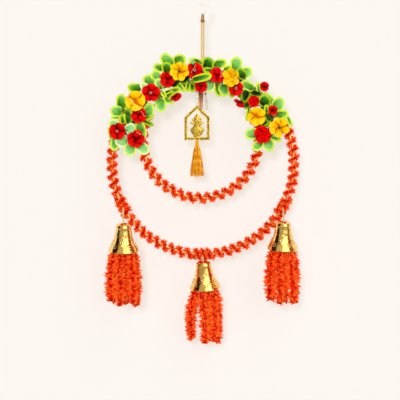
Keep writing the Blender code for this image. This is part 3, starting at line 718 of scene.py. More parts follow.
for bell in BELLS:
    place = bell_frame(bell)
    foot = place.translation
    tassel_skin = Skin()
    head = np.array([tuple(place @ Vector((0, 0, height * MM))) for height in (33.9, 32.0, 28.0, 19.5, 18.8)])
    # The bound head takes the strips' dark root colour: painted shade inside the bell.
    tassel_skin.tube(round_rings(head, np.array([1.5, 5.0, 6.6, 6.2, 3.0]) * MM, 18), along=0.1, tint=0.0)
    for number in range(STRANDS + 1):
        turn = 2 * math.pi * (number + 0.25) / STRANDS
        side = Vector((math.cos(turn), math.sin(turn), 0)) * (0.0 if number == STRANDS else 1.0)
        route = []
        reaches = []
        for height, spread, reach in STRAND_STEPS:
            step = side * spread * MM + Vector((0, 0, height * MM))
            route.append(place @ step if height >= 0 else foot + step)
            reaches.append(reach * MM)
        start_height, start_spread, _ = STRAND_STEPS[-1]
        length = TASSEL_LENGTH - (number * 5 % 4) * 1.8 * MM
        for share in (0.2, 0.4, 0.6, 0.8, 1.0):
            height = start_height * MM * (1 - share) - (length - 2.5 * MM) * share
            spread = start_spread * MM * (1 - share) ** 2 + FREE_SPREAD * (1 - (1 - share) ** 2)
            sway = Vector((math.sin(5 * share + number), math.cos(4 * share + 2 * number), 0)) * 0.8 * MM
            if bell.name == "middle":
                sway.x += STRANDS_APART[number] * MM * min(1.0, 2.5 * share)
            route.append(foot + side * spread + sway + Vector((0, 0, height)))
            reaches.append((5.6 if share < 1 else 4.0) * MM)
        line = smooth_route(route, 1.0 * MM)
        far = length_along(line)
        reach = np.interp(far, np.linspace(0, far[-1], len(reaches)), reaches)
        tuft = 0.5 + 0.5 * np.cos(2 * np.pi * far / TUFT_SPACING + number)
        add_pile(tassel_skin, line, reach * (1.24 + 0.24 * tuft), width=2.35 * MM, core=2.8 * MM)
    tassel_skin.piece(f"bell_tassel_{bell.name}_strands", red_fluff, "red_fluff", f"bell_tassel_{bell.name}")

# The vine
# Wire stems bound together with green tape into an arch in front of the hoops. A stalk goes off to
# each leaf and each flower, and two seat the arch on the inner hoop.
GRID = 1.27 * MM
GRID_ORIGIN = (202.7, 5.4)
VINE_RADIUS = 2.1 * MM
VINE_START = 20.0
VINE_END = 161.0
VINE_STEPS = 46
VINE_LAY = 16.0 * MM
VINE_FRONT = -10.9 * MM
VINE_TOP = -4.2 * MM
VINE_OVER_CORD = -8.8 * MM
VINE_END_RADIUS = 103.0 * MM
STALK = 0.75 * MM
FLOWER_STALK = 1.0 * MM
HOOP_SEAT_ANGLES = (66.0, 111.0)


def on_grid(place, depth=0.0):
    """The point of a grid place, at a given depth."""
    column, row = place
    return Vector(((column - GRID_ORIGIN[0]) * GRID, depth, (GRID_ORIGIN[1] - row) * GRID))


def hoop_point(centre, radius, degrees, depth=0.0):
    """A point on a circle in the XZ plane, measured from +X towards +Z."""
    turn = math.radians(degrees)
    return centre + Vector((radius * math.cos(turn), depth, radius * math.sin(turn)))


def vine_point(degrees):
    """The vine's centre line: close to the bare hoop at the top, in front of the winding lower down."""
    off_top = abs(degrees - 90.0)
    side = min(1.0, max(0.0, (off_top - 34.0) / 14.0))
    side = side * side * (3 - 2 * side)
    over = max(0.0, 1.0 - off_top / 9.0)
    over = over * over * (3 - 2 * over)
    depth = VINE_TOP + (VINE_FRONT - VINE_TOP) * side + (VINE_OVER_CORD - VINE_TOP) * over
    return hoop_point(OUTER_CENTRE, OUTER_RADIUS + (VINE_END_RADIUS - OUTER_RADIUS) * side, degrees, depth)


def nearest_vine_point(place):
    """Where on the vine a stalk starts."""
    candidates = [vine_point(VINE_START + 3 + index) for index in range(int(VINE_END - VINE_START) - 5)]
    return min(candidates, key=lambda point: math.hypot(point.x - place.x, point.z - place.z))


tape = Finish("stem_tape", specular_ior_level=0.4)
wrap = tape.measure("ridge")
tape_cloud = tape.noise(3 * MM)
# The tape is painted darker in the grooves between its turns: painted shade.
tape.set("base_color", tape.mix(wrap.above(0.1, 0.9) * (0.5 + 0.5 * tape_cloud),
                                paint(22, 52, 14), paint(70, 118, 40)))
tape.set("roughness", 0.55 + 0.2 * tape_cloud)
tape.bump(tape_cloud, 0.2 * MM, 0.5)
vine_skin = Skin()
vine_points = [vine_point(VINE_START + (VINE_END - VINE_START) * index / VINE_STEPS)
               for index in range(VINE_STEPS + 1)]
add_rope(vine_skin, smooth_route(vine_points, 1.2 * MM), VINE_RADIUS, VINE_LAY)


def add_stalk(points, radius):
    """A taped wire stalk through a few points."""
    vine_skin.tube(round_rings(smooth_route(points, 1.5 * MM), radius, 8), ridge=0.6)


# The leaves
# Stamped from thin foam, each with a raised middle rib. They are painted dark green from the stalk
# end and lighter towards one side as painted shade and light, with a tone for each leaf that is partly
# its own colour and partly painted shade, and keep a lime edge as wide as a pencil line.
LEAF_BACK = -10.0 * MM
LEAF_TIER = 1.4 * MM
SHADED_TIER = -1
LEAF_THICKNESS = 0.3 * MM
LEAF_CUP = 0.16
LEAF_BOW = 1.0 * MM
LEAF_CURL = 0.10
RIB_HEIGHT = 0.35 * MM
RIB_WIDTH = 0.5 * MM
LEAF_ROWS = 19
LEAF_COLUMNS = 15
TO_BACK = np.array((0.0, 1.0, 0.0))
Leaf = namedtuple("Leaf", "base tip width tone tier")
LEAVES = (
    # left side, from the top of the group to its lower end
    Leaf((123, 109), (120.5, 93.8), 11.5, 0.4, 1),
    Leaf((122.5, 111.5), (110, 111.5), 11.5, 0.55, 2),
    Leaf((121, 115), (111, 119.5), 6.5, 0.7, 0),
    Leaf((118.5, 129), (109.3, 120.5), 11, 0.8, 1),
    Leaf((123.5, 124), (121.5, 114), 6.5, 0.3, 1),
    Leaf((128.5, 124), (127.8, 106.5), 9, 0.35, 0),
    Leaf((146.5, 117), (151, 103), 11.5, 0.55, 2),
    Leaf((144.5, 118), (154, 115), 6.5, 0.3, 1),
    Leaf((143.5, 120.5), (153.8, 125.8), 5, 0.05, 1),
    Leaf((125.5, 131), (136.5, 127), 11.5, 0.95, 2),
    Leaf((140.5, 135), (139.5, 121), 11.5, 0.42, 1),
    Leaf((142, 138.5), (146, 131.5), 5.5, 0.6, 0),
    Leaf((111.5, 139), (109, 126.5), 5, 0.6, 0),
    Leaf((115.5, 137), (114, 151), 9.5, 0.5, 1),
    Leaf((128.5, 140.5), (114.5, 140.5), 13, 0.9, 2),
    Leaf((131, 144), (129, 156), 12.5, 0.72, 1),
    Leaf((138, 143), (148, 153.5), 11.5, 0.8, 0),
    # top, left of the hanging cord
    Leaf((142, 88.5), (127.3, 87.5), 10, 0.35, 1),
    Leaf((152, 88), (146, 75), 12.5, 0.42, 1),
    Leaf((149, 90.5), (140.5, 83.5), 8, 0.97, 2),
    Leaf((172.5, 68), (162, 53.8), 12.5, 0.5, 0),
    Leaf((173.5, 67), (184.5, 55.5), 13, 0.38, 0),
    Leaf((168, 74), (165.5, 62), 10.5, 0.2, 2),
    Leaf((163.5, 69.5), (153.5, 65.5), 8.5, 0.4, 1),
    Leaf((161.5, 81), (152, 71.5), 11, 0.55, 1),
    Leaf((162.5, 89), (156, 78.5), 9, 0.75, 2),
    Leaf((159, 98), (162.5, 112), 11.5, 0.6, 1),
    Leaf((159.5, 86), (166.5, 99.5), 5, 0.4, 2),
    Leaf((159, 92), (173.5, 87), 3, 0.9, 3),
    Leaf((161, 94), (174, 90.5), 7, 0.0, 1),
    Leaf((165.5, 98), (174, 91.5), 6, 0.25, 2),
    Leaf((163, 99), (174, 103), 6.5, 0.5, 1),
    Leaf((170, 92), (181, 88.5), 6.5, 0.35, 1),
    Leaf((178, 84), (184.5, 91.5), 6, 0.5, 0),
    Leaf((188.5, 83), (187, 92), 5.5, 0.3, 2),
    Leaf((190, 83.5), (194, 92), 8, 0.25, 1),
    Leaf((199, 67), (188.5, 59.5), 11, 0.7, 0),
    Leaf((194, 60), (206.5, 66), 6.5, 0.35, 1),
    Leaf((200, 80), (190, 82.5), 6.5, 0.05, 3),
    # top, right of the hanging cord
    Leaf((207, 70), (209, 57), 12.5, 0.15, 1),
    Leaf((213.5, 66.5), (226.8, 61.5), 10, 0.4, 1),
    Leaf((212.5, 70.8), (203, 70), 6, 0.2, 3),
    Leaf((211.5, 80), (206, 92.3), 12.5, 0.78, 2),
    Leaf((224, 70), (231.5, 66.3), 5.5, 0.35, 1),
    Leaf((236, 71), (236.5, 56.5), 12.5, 0.62, 1),
    Leaf((241, 75), (252.3, 70), 12, 0.6, 0),
    Leaf((245, 79), (237.5, 68), 9.5, 0.15, 2),
    Leaf((222, 84), (226.5, 96.5), 11, 0.5, 2),
    Leaf((217, 86), (219.5, 96.8), 7, 0.28, 1),
    Leaf((231, 92), (232.5, 98), 5.5, 0.3, 1),
    Leaf((254, 89.5), (241, 82), 9.5, 0.48, 2),
    Leaf((247, 89.5), (243.5, 103), 9.5, 0.0, 1),
    Leaf((259, 92), (257.5, 81.5), 5, 0.55, 1),
    # right side, down to the lower end of the group
    Leaf((250, 92), (263.5, 95), 8, -0.05, 0),
    Leaf((265.5, 107), (263, 94.5), 12.5, 0.15, 2),
    Leaf((274, 104), (262.5, 93), 9, 0.6, 0),
    Leaf((274.5, 110), (282.3, 97.5), 12.5, 0.6, 1),
    Leaf((275.5, 116), (288.5, 113), 9.5, 0.45, 1),
    Leaf((287.5, 117), (291.8, 127), 5.5, 0.5, 0),
    Leaf((266.5, 114), (266.5, 104.5), 5.5, 0.25, 3),
    Leaf((249, 108), (246.8, 121.5), 4.5, 0.35, 1),
    Leaf((258.5, 133.5), (244.5, 134.5), 11.5, 0.6, 2),
    Leaf((262.5, 140.5), (253, 150), 10, 0.6, 1),
    Leaf((266, 139), (271, 151.3), 12, 0.65, 2),
    Leaf((270.5, 137), (281.5, 140.7), 6, 0.5, 1),
)
# Filler leaves set a tier back in the gaps, given the darkest tones: dark sheets as painted shade.
SHADED_LEAVES = [Leaf(*row, SHADED_TIER) for row in (
    ((183, 80), (184, 90), 9, -0.1),
    ((152, 100), (160, 92), 9, -0.1),
    ((133, 124), (126, 116), 9, -0.1),
    ((146, 107), (140, 100), 9, -0.1),
    ((215, 66), (206, 75), 9, -0.1),
    ((212, 84), (220, 88), 9, -0.1),
    ((240, 90), (244, 98), 9, -0.1),
    ((262, 110), (270, 104), 9, -0.1),
    ((268, 120), (262, 128), 9, -0.1),
    ((163, 88), (172, 94), 10, -0.1),
    ((127, 133), (122, 128), 9, -0.1),
    ((248, 96), (256, 91), 9, -0.1),
    ((189, 75), (180, 83), 9, 0.0),
    ((187, 88), (176, 85), 8, 0.0),
    ((249, 99), (245, 109), 9, 0.0),
    ((255, 96), (250, 106), 8, -0.1),
    ((228, 84), (236, 80), 9, -0.1),
    ((272, 121), (266, 112), 9, -0.1),
    ((212, 78), (222, 82), 9, 0.0),
    ((170, 88), (181, 80), 10, -0.05),
    ((262, 124), (271, 116), 9, 0.1),
    ((117, 106), (127, 113), 9, 0.1),
    ((140, 127), (130, 121), 9, 0.1),
    ((192, 70), (198, 80), 9, 0.0),
)]
FRONT_LEAF = Leaf((192, 81), (211.8, 76), 8, 0.3, 3)
FRONT_LEAF_DEPTH = -26.6 * MM
FRONT_LEAF_STALK = -24.5 * MM

leaf_foam = Finish("leaf_green", specular_ior_level=0.12)
to_rim = leaf_foam.measure("to_rim")
leaf_along = leaf_foam.measure("along")
leaf_side = leaf_foam.measure("across")
leaf_tone = leaf_foam.measure("tone")
spray = leaf_foam.noise(4 * MM, 3.0)
streak = ((leaf_along * 9 - leaf_side * leaf_side * 2.5) * 6.3).wave()
# Painted shade and light: dark at the stalk end, lighter along the blade and towards one side.
light = leaf_tone + 0.5 * leaf_along - 0.22 + 0.2 * leaf_side + 0.5 * (spray - 0.5)
greens = leaf_foam.ramp(light, (0.0, paint(8, 40, 4)), (0.2, paint(40, 104, 16)),
                        (0.45, paint(88, 162, 48)), (0.7, paint(130, 206, 94)), (1.0, paint(158, 234, 160)))
edge = leaf_foam.ramp(leaf_tone + 0.25 * (spray - 0.5),
                      (0.0, paint(150, 190, 20)), (0.35, paint(212, 238, 34)),
                      (0.7, paint(226, 250, 110)), (1.0, paint(246, 255, 214)))
rim_reach = 1.0 + 2.0 * leaf_along
band = (to_rim + 1.4 * (spray - 0.5) - rim_reach).above(-0.8, 1.0)
leaf_foam.set("base_color", leaf_foam.mix(band, edge, greens))
leaf_foam.set("roughness", 0.5 + 0.2 * spray)
leaf_foam.bump(leaf_foam.noise(0.9 * MM) + 0.15 * streak, 0.12 * MM, 0.5)


def add_leaf(skin, leaf, base_depth, stalk_root):
    """One leaf blade with two faces, cupped towards the front, and its stalk."""
    base = np.array(on_grid(leaf.base, base_depth))
    tip = np.array(on_grid(leaf.tip, base_depth + 0.4 * MM))
    along = tip - base
    long = np.linalg.norm(along)
    side = unit(np.array((along[2], 0.0, -along[0])))
    half = leaf.width * GRID / 2
    share = np.linspace(0, 1, LEAF_ROWS)
    across = np.linspace(-1, 1, LEAF_COLUMNS)
    outline = np.maximum(1 - np.abs(2 * share ** 0.9 - 1) ** 2.5, 0.0) ** (1 / 2.1)
    outline[0] = 0.12
    phase = dice.uniform(0, 6.28)
    wobble = 1 + 0.05 * np.sin(3 * share * 3.1 + phase)
    flat = np.stack(np.broadcast_arrays(share[:, None] * long,
                                        across * half * (outline * wobble)[:, None]), -1)
    rim = np.concatenate([flat[:, 0], flat[:, -1], flat[-1], flat[0]])
    to_edge = np.min(np.linalg.norm(flat[:, :, None] - rim[None, None], axis=-1), axis=-1)
    cup = LEAF_CUP * np.abs(flat[..., 1]) ** 1.3 * half ** -0.3
    bow = LEAF_BOW * np.sin(np.pi * share)[:, None]
    curl = LEAF_CURL * half * np.sin(7 * share + phase)[:, None] * across ** 2
    rib = -RIB_HEIGHT * np.exp(-(flat[..., 1] / RIB_WIDTH) ** 2)
    depth = -cup - bow - curl - rib
    centre = base + along * share[:, None]
    middle = centre[:, None] + side * flat[..., 1:] + depth[..., None] * TO_BACK
    thick = (LEAF_THICKNESS * np.clip(to_edge / (0.4 * MM), 0.35, 1))[..., None] * TO_BACK
    skin.sheet(middle - thick, middle + thick, to_rim=to_edge / MM, along=share[:, None], across=across,
               tone=leaf.tone)
    into = Vector(base + along * 0.3)
    add_stalk([*stalk_root, Vector(base), into], STALK)


leaf_skin = Skin()
for index, leaf in enumerate((*LEAVES, *SHADED_LEAVES)):
    depth = LEAF_BACK - LEAF_TIER * leaf.tier - 0.05 * MM * (index % 7)
    add_leaf(leaf_skin, leaf, depth, [nearest_vine_point(on_grid(leaf.base))])
front_root = nearest_vine_point(on_grid(FRONT_LEAF.base))
add_leaf(leaf_skin, FRONT_LEAF, FRONT_LEAF_DEPTH,
         [front_root, on_grid(FRONT_LEAF.base, LEAF_BACK - LEAF_TIER),
          on_grid(FRONT_LEAF.base, FRONT_LEAF_STALK)])
leaf_skin.piece("foam_leaves", leaf_foam, "leaf_green", "leaf_vine")

# The flowers
# Heads of stiffened cloth petals set round a small eye, one over the next. Some are open and flat,
# some are cupped, and two small ones are turned nearly side on.
FLOWER_BASE = -15.5 * MM
FLOWER_STALK_BEND = -12.6 * MM
# Pale streaks laid over five of the flowers as thin pale tubes on the petal fronts.
PALE_STREAKS = {1: ((130, 99), (139, 109)), 3: ((141, 111), (145, 117)), 5: ((137, 132), (141, 135)),
                8: ((196, 65), (191, 73)), 11: ((221, 70), (221, 78))}
Flower = namedtuple("Flower", "colour centre radius lift cup right up turns eye")
FLOWERS = (
    Flower("yellow", (135.5, 101.5), 10.0, 5.0, 0.25, 0, 5, (0, 80, 165, 250), "none"),
    Flower("red", (151, 93), 9.3, 0.0, 0.25, 0, 0, (5, 75, 140, 215, 290), "ring"),
    Flower("red", (138.5, 115), 8.0, 0.0, 0.45, 5, -8, (45, 120, 185, 250, 330), "dark"),
    Flower("red", (118, 131), 8.5, 0.0, 0.4, -12, -8, (40, 130, 215, 290), "ring"),
    Flower("red", (136, 138.5), 9.0, 0.0, 0.4, 0, -6, (20, 100, 160, 225, 290), "dark"),
    Flower("yellow", (179.5, 72), 9.8, 5.5, 0.2, 0, 4, (0, 55, 105, 160, 210, 260, 310), "green"),
    Flower("red", (168, 79.5), 8.0, 0.0, 0.4, -10, 0, (30, 110, 165, 230, 310), "dark"),
    Flower("red", (194.5, 71), 8.4, 0.0, 0.3, 4, 6, (50, 130, 200, 290), "ring"),
    Flower("red", (201, 86), 6.4, 0.0, 0.5, 0, -10, (60, 150, 220, 310), "dark"),
    Flower("red", (175, 95.5), 6.0, 0.0, 0.5, 35, -50, (50, 130, 230, 310), "none"),
    Flower("red", (217, 76), 8.0, 0.0, 0.5, 0, 5, (0, 80, 140, 220, 290), "dark"),
    Flower("yellow", (231.5, 77.5), 9.3, 5.5, 0.5, -12, -8, (0, 60, 130, 180, 230, 300), "rose"),
    Flower("red", (235.5, 88.5), 7.5, 0.0, 0.35, 6, 0, (50, 150, 210, 280), "ring"),
    Flower("red", (240.5, 101.5), 6.0, 0.0, 0.5, -50, -45, (140, 210, 310, 30), "none"),
    Flower("red", (253.5, 101.5), 5.8, 0.0, 0.6, 0, -4, (45, 135, 225, 315), "rose"),
    Flower("red", (264, 87), 5.0, 0.0, 0.3, 12, 4, (330, 40, 150, 220), "none"),
    Flower("red", (272.5, 110.5), 5.2, 0.0, 0.3, 6, 0, (320, 40, 130, 180, 235), "none"),
    Flower("yellow", (256.5, 116.5), 9.3, 0.0, 0.3, 0, 0, (350, 50, 130, 195, 260), "none"),
    Flower("yellow", (279, 127.8), 10.3, 5.0, 0.2, 0, 0, (340, 40, 110, 185, 240, 290), "green"),
    Flower("red", (262.5, 134.5), 9.0, 0.0, 0.45, 0, -4, (350, 70, 140, 210, 290), "rose"),
)


def petal_finish(name, deep, main, bright, eye_dark, eye_pale):
    """Stiffened cloth: darker towards the heart, bright towards the edge, painted shade along each petal's
    sides, a fine weave and faint veins.
    """
    finish = Finish(name, specular_ior_level=0.08)
    along = finish.measure("along")
    side = finish.measure("across")
    tone = finish.measure("tone")
    eye = finish.measure("eye")
    cloud = finish.noise(3 * MM, 3.0)
    vein = (side * 22.0).wave()
    # The sides of each petal, where it goes under the next, are painted dark: painted shade.
    painted_fold_shade = side * side * side * side
    level = along + 0.3 * (cloud - 0.5) + 0.03 * vein + 0.7 * (tone - 0.5) - 0.85 * painted_fold_shade * (1.25 - along)
    cloth = finish.ramp(level, (0.05, deep), (0.45, main), (1.0, bright))
    cloth = finish.mix(eye.above(0.2, 0.45), cloth, eye_dark)
    finish.set("base_color", finish.mix(eye.above(0.6, 0.9), cloth, eye_pale))
    finish.set("roughness", 0.5 + 0.25 * cloud)
    finish.bump(finish.noise(0.35 * MM) + 0.3 * vein, 0.05 * MM, 0.4)
    return finish


petal_looks = {
    "red": petal_finish("red_petal", paint(92, 0, 0), paint(216, 0, 2), paint(250, 12, 14), paint(60, 8, 0),
                        paint(250, 190, 160)),
    "yellow": petal_finish("yellow_petal", paint(206, 104, 0), paint(253, 200, 0), paint(255, 226, 24),
                           paint(60, 84, 0), paint(255, 240, 190)),
}
PETAL_ROWS = 13
PETAL_COLUMNS = 13
PETAL_HALF_THICKNESS = 0.12 * MM
HeartRing = namedtuple("HeartRing", "count start reach cup width layer rise tones")
HEARTS = {
    "rose": (HeartRing(4, 20, 0.66, 0.7, 0.7, 2.5, 0.1, (0.3, 0.8)),
             HeartRing(3, 50, 0.38, 1.4, 0.8, 3.2, 0.0, (0.5, 0.9))),
    "dark": (HeartRing(3, 10, 0.55, 0.5, 0.7, 2.4, 0.1, (0.1, 0.5)),),
}
STAMENS = 9
STAMEN_STEPS = ((0.7, 1.9), (1.2, 3.6), (1.6, 4.4))


def add_petal(skin, turn, radius, cup, width, layer, tone):
    """One round petal about the flower's axis, as a closed thin sheet. Local +Z faces the front."""
    share = np.sin(np.linspace(0, 0.5 * np.pi, PETAL_ROWS) ** 0.9 / (0.5 * np.pi) ** 0.9 * 0.5 * np.pi)
    across = np.sin(0.5 * np.pi * np.linspace(-1, 1, PETAL_COLUMNS))
    inner = 0.42 + 0.58 * np.sin(0.5 * np.pi * np.minimum(share / 0.6, 1))
    outer = np.sqrt(np.maximum(1 - ((share - 0.6) / 0.405) ** 2, 0.02))
    outline = np.where(share < 0.6, inner, outer)
    phase = dice.uniform(0, 6.28)
    sideways = across * radius * width * outline[:, None]
    reach = radius * share[:, None] * (1 + 0.03 * np.sin(4 * across + phase))
    rise = cup * radius * share[:, None] ** 1.6 + 0.10 * sideways ** 2 / radius
    rise = rise + 0.025 * radius * np.sin(4 * across + phase) * share[:, None] ** 2
    rise = rise + 0.12 * sideways + layer * 0.6 * MM - 0.14 * radius * share[:, None] ** 6
    rise = rise - 0.10 * radius * np.exp(-(across / 0.12) ** 2) * (share * (1 - share))[:, None]
    spin = math.radians(turn)
    x = reach * math.sin(spin) + sideways * math.cos(spin)
    y = reach * math.cos(spin) - sideways * math.sin(spin)
    front = np.stack([x, y, rise + PETAL_HALF_THICKNESS], -1)
    back = np.stack([x, y, rise - PETAL_HALF_THICKNESS], -1)
    skin.sheet(front, back, flip=True, along=share[:, None], across=across, tone=tone, eye=0.0)


def add_knob(skin, heights, reaches, columns, **measures):
    """A short round stub on the flower's axis, from heights and reaches in millimetres."""
    line = [Vector((0, 0, height * MM)) for height in heights]
    skin.tube(round_rings(line, np.array(reaches) * MM, columns), across=0.0, **measures)


def place_skin(skin, matrix):
    """Move what a skin holds by a matrix."""
    matrix = np.array(matrix)
    skin.points = [points @ matrix[:3, :3].T + matrix[:3, 3] for points in skin.points]


def add_flower(number, flower):
    """One flower head with its petals, its eye and its stalk."""
    radius = flower.radius * GRID
    skin = Skin()
    wide = {4: 0.66, 5: 0.52}.get(len(flower.turns), 0.4)
    for layer, turn in enumerate(flower.turns):
        add_petal(skin, turn, radius, flower.cup, wide, 1 + layer % 2, dice.uniform(0.35, 0.65))
    for ring in HEARTS.get(flower.eye, ()):
        for index in range(ring.count):
            add_petal(skin, 360 * index / ring.count + ring.start, radius * ring.reach, ring.cup, ring.width,
                      ring.layer + index * ring.rise, dice.uniform(*ring.tones))
    if flower.eye == "ring":
        for index in range(STAMENS):
            lean = Vector((math.cos(0.7 * index), math.sin(0.7 * index), 0))
            stamen = smooth_route([lean * out * MM + Vector((0, 0, height * MM))
                                   for out, height in STAMEN_STEPS], 0.5 * MM)
            skin.tube(round_rings(stamen, 0.34 * MM, 6), along=1.0, across=0.0, tone=0.6, eye=1.0)
        add_knob(skin, (1.5, 2.6, 3.0), (1.2, 1.1, 0.4), 12, along=0.5, tone=0.3, eye=0.5)
    elif flower.eye == "green":
        add_knob(skin, (1.5, 2.9, 3.6), (1.7, 1.5, 0.5), 12, along=0.5, tone=0.3, eye=0.5)
    add_knob(skin, (0.0, 1.0, 2.4), (1.2, 1.9, 1.4), 14, along=0.0, tone=0.2, eye=0.0)
    face = Matrix.Translation(on_grid(flower.centre, FLOWER_BASE - flower.lift * MM))
    face = face @ Euler((math.radians(-flower.up), 0.0, math.radians(flower.right))).to_matrix().to_4x4()
    face = face @ Matrix.Rotation(math.radians(90), 4, "X")
    place_skin(skin, face)
    if number in PALE_STREAKS:
        start, end = PALE_STREAKS[number]
        tree = skin.tree()
        streak_points = []
        for index in range(12):
            share = index / 11
            place = [first + (last - first) * share for first, last in zip(start, end)]
            hit = tree.ray_cast(on_grid(place, -0.1), Vector((0, 1, 0)))[0]
            if hit:
                streak_points.append(hit - Vector((0, 0.25 * MM, 0)))
        skin.tube(round_rings(smooth_route(streak_points, 0.6 * MM), 0.3 * MM, 6),
                  along=1.0, across=0.0, tone=1.0, eye=1.0)
    node = f"flower_{number:02d}_{flower.colour}"
    skin.piece(f"{node}_head", petal_looks[flower.colour], f"{flower.colour}_petal", node)
    root = nearest_vine_point(on_grid(flower.centre))
    seat = on_grid(flower.centre, FLOWER_BASE - flower.lift * MM + GAP)
    add_stalk([root, on_grid(flower.centre, FLOWER_STALK_BEND), seat], FLOWER_STALK)


for number, flower in enumerate(FLOWERS, start=1):
    add_flower(number, flower)
for degrees in HOOP_SEAT_ANGLES:
    seat = hoop_point(INNER_CENTRE, INNER_RADIUS, degrees, -HOOP_WIRE - GAP)
    add_stalk([vine_point(degrees), seat + Vector((0, -3.0 * MM, 0)), seat], FLOWER_STALK)
vine_skin.piece("taped_vine", tape, "leaf_green", "leaf_vine")

# The pearls and the clear beads
# Three white pearls on a thread carry the pendant, and five small clear beads hang beside them. Each
# thread is tied round the inner hoop.
THREAD = 0.5 * MM
PENDANT_X = -7.2 * MM
PENDANT_APEX = -125.9 * MM
PEARL_HEIGHTS = (-109.0, -115.2, -121.4)
PEARL_RADIUS = 2.5 * MM
BEAD_RADIUS = 2.15 * MM

pearl = Finish("pearl", coat_weight=0.6, coat_roughness=0.05)
rim_shade_mask = pearl.make("LayerWeight", {}, {"Blend": 0.4}, "Facing")
# The pearls are painted darker and pinker towards their outline: painted shade at the rim.
pearl.set("base_color", pearl.ramp(rim_shade_mask, (0.15, paint(255, 253, 250)), (0.5, paint(230, 212, 204)),
                                   (0.9, paint(150, 122, 108))))
pearl.set("roughness", 0.16 + 0.1 * pearl.noise(1.5 * MM))
bead_plastic = Finish("clear_bead", base_color=paint(250, 238, 232), transmission_weight=0.3, ior=1.45)
bead_plastic.set("roughness", 0.03 + 0.1 * bead_plastic.noise(1 * MM))


def add_turned(skin, outline, centre, columns, flatten=1.0, relief=None, **measures):
    """A turned form about the vertical through its centre, from heights and reaches in millimetres."""
    outline = np.asarray(outline, float)
    turn = 2 * np.pi * np.arange(columns) / columns
    reach = np.broadcast_to(outline[:, 0][:, None], (len(outline), columns))
    if relief is not None:
        reach = reach + relief(outline[:, 1][:, None], turn[None, :])
    rings = np.stack([reach * np.sin(turn), reach * np.cos(turn) * flatten,
                      np.broadcast_to(outline[:, 1][:, None], reach.shape)], -1) * MM
    skin.tube((rings + np.array(tuple(centre)))[::-1], **measures)


def add_bead(skin, centre, radius, columns=20):
    """A round bead, flat at its two poles."""
    slope = np.linspace(math.radians(-80), math.radians(80), columns // 2)
    outline = np.stack([radius / MM * np.cos(slope), radius / MM * np.sin(slope)], -1)
    add_turned(skin, outline, centre, columns)


def add_bead_strand(name, finish, slot, hoop_x, places, radius, foot):
    """Beads on a thread that is looped round the inner hoop."""
    rise = math.sqrt(INNER_RADIUS ** 2 - (hoop_x - INNER_CENTRE.x) ** 2)
    grip = Vector((hoop_x, 0.0, INNER_CENTRE.z + rise))
    reach = HOOP_WIRE + GAP + 0.15 * MM + THREAD
    skin = Skin()
    skin.tube(round_rings(circle(grip, reach, (1, 0, 0), 40), THREAD, 8, closed=True), closed=True)
    thread = smooth_route([grip - Vector((0, 0, reach)), *places, foot], 1 * MM)
    skin.tube(round_rings(thread, THREAD, 8))
    for place in places:
        add_bead(skin, place, radius)
    skin.piece(name, finish, slot, name.replace("_threaded", ""))


pearls = [Vector((PENDANT_X, 0, height * MM)) for height in PEARL_HEIGHTS]
add_bead_strand("pearl_strand_threaded", pearl, "pearl", -6.6 * MM, pearls, PEARL_RADIUS,
                Vector((PENDANT_X, 0, PENDANT_APEX + GAP + 0.1 * MM)))
clear_start = Vector((3.4, 0.0, -112.0)) * MM
clear_end = Vector((5.6, 0.0, -130.0)) * MM
add_bead_strand("clear_beads_threaded", bead_plastic, "clear_plastic", 2.0 * MM,
                [clear_start.lerp(clear_end, index / 4) for index in range(5)], BEAD_RADIUS,
                clear_end - Vector((0, 0, 2.0 * MM)))

# The copper ribbon
# A stiff woven foil ribbon, flecked with painted gold glints, hangs over the back of the inner hoop.
RIBBON_X = -2.4
RIBBON_HALF = 2.9
RIBBON_ROUTE = ((-92.5, 2.5), (-99.0, 2.5), (-108.0, 3.6), (-120.0, 3.4), (-131.0, 3.1))

copper = Finish("copper_ribbon", metallic=0.55)
ribbon_side = copper.measure("across")
ribbon_along = copper.measure("along")
glint = copper.noise(0.8 * MM, 3.0, (1, 1, 0.5))
weave = (ribbon_along * 420.0).wave() * 0.5 + 0.5
ground = copper.mix(ribbon_along.above(0.45, 0.95), paint(134, 82, 46), paint(214, 164, 128))
# Gold flecks over the copper: painted glints.
painted_glint_mask = (glint * 0.9 + weave * 0.2).above(0.62, 0.75)
copper.set("base_color", copper.mix(painted_glint_mask, ground, paint(236, 196, 116)))
copper.set("roughness", 0.25 + 0.3 * glint)
copper.bump(weave + ribbon_side, 0.08 * MM, 0.6)
ribbon_line = smooth_route([(RIBBON_X, depth, height) for height, depth in RIBBON_ROUTE], 0.6)
ribbon_section = np.array([(side, deep) for side, deep in zip(
    [*np.linspace(-1, 1, 13), *np.linspace(1, -1, 13)], [-1] * 13 + [1] * 13)])
ribbon_share = np.linspace(0, 1, len(ribbon_line))[:, None]
ribbon_rings = np.repeat(ribbon_line[:, None], 26, 1)
ribbon_rings[..., 0] += RIBBON_HALF * ribbon_section[:, 0] * (1 - 0.06 * np.sin(9 * ribbon_share))
pleat = 0.35 * np.cos(4.5 * ribbon_section[:, 0] + 2.5 * ribbon_share)
ribbon_rings[..., 1] += 0.16 * ribbon_section[:, 1] + pleat
ribbon_skin = Skin()
ribbon_skin.tube(ribbon_rings * MM, across=ribbon_section[:, 0], along=ribbon_share)
ribbon_skin.piece("woven_ribbon", copper, "copper_ribbon", "copper_ribbon")

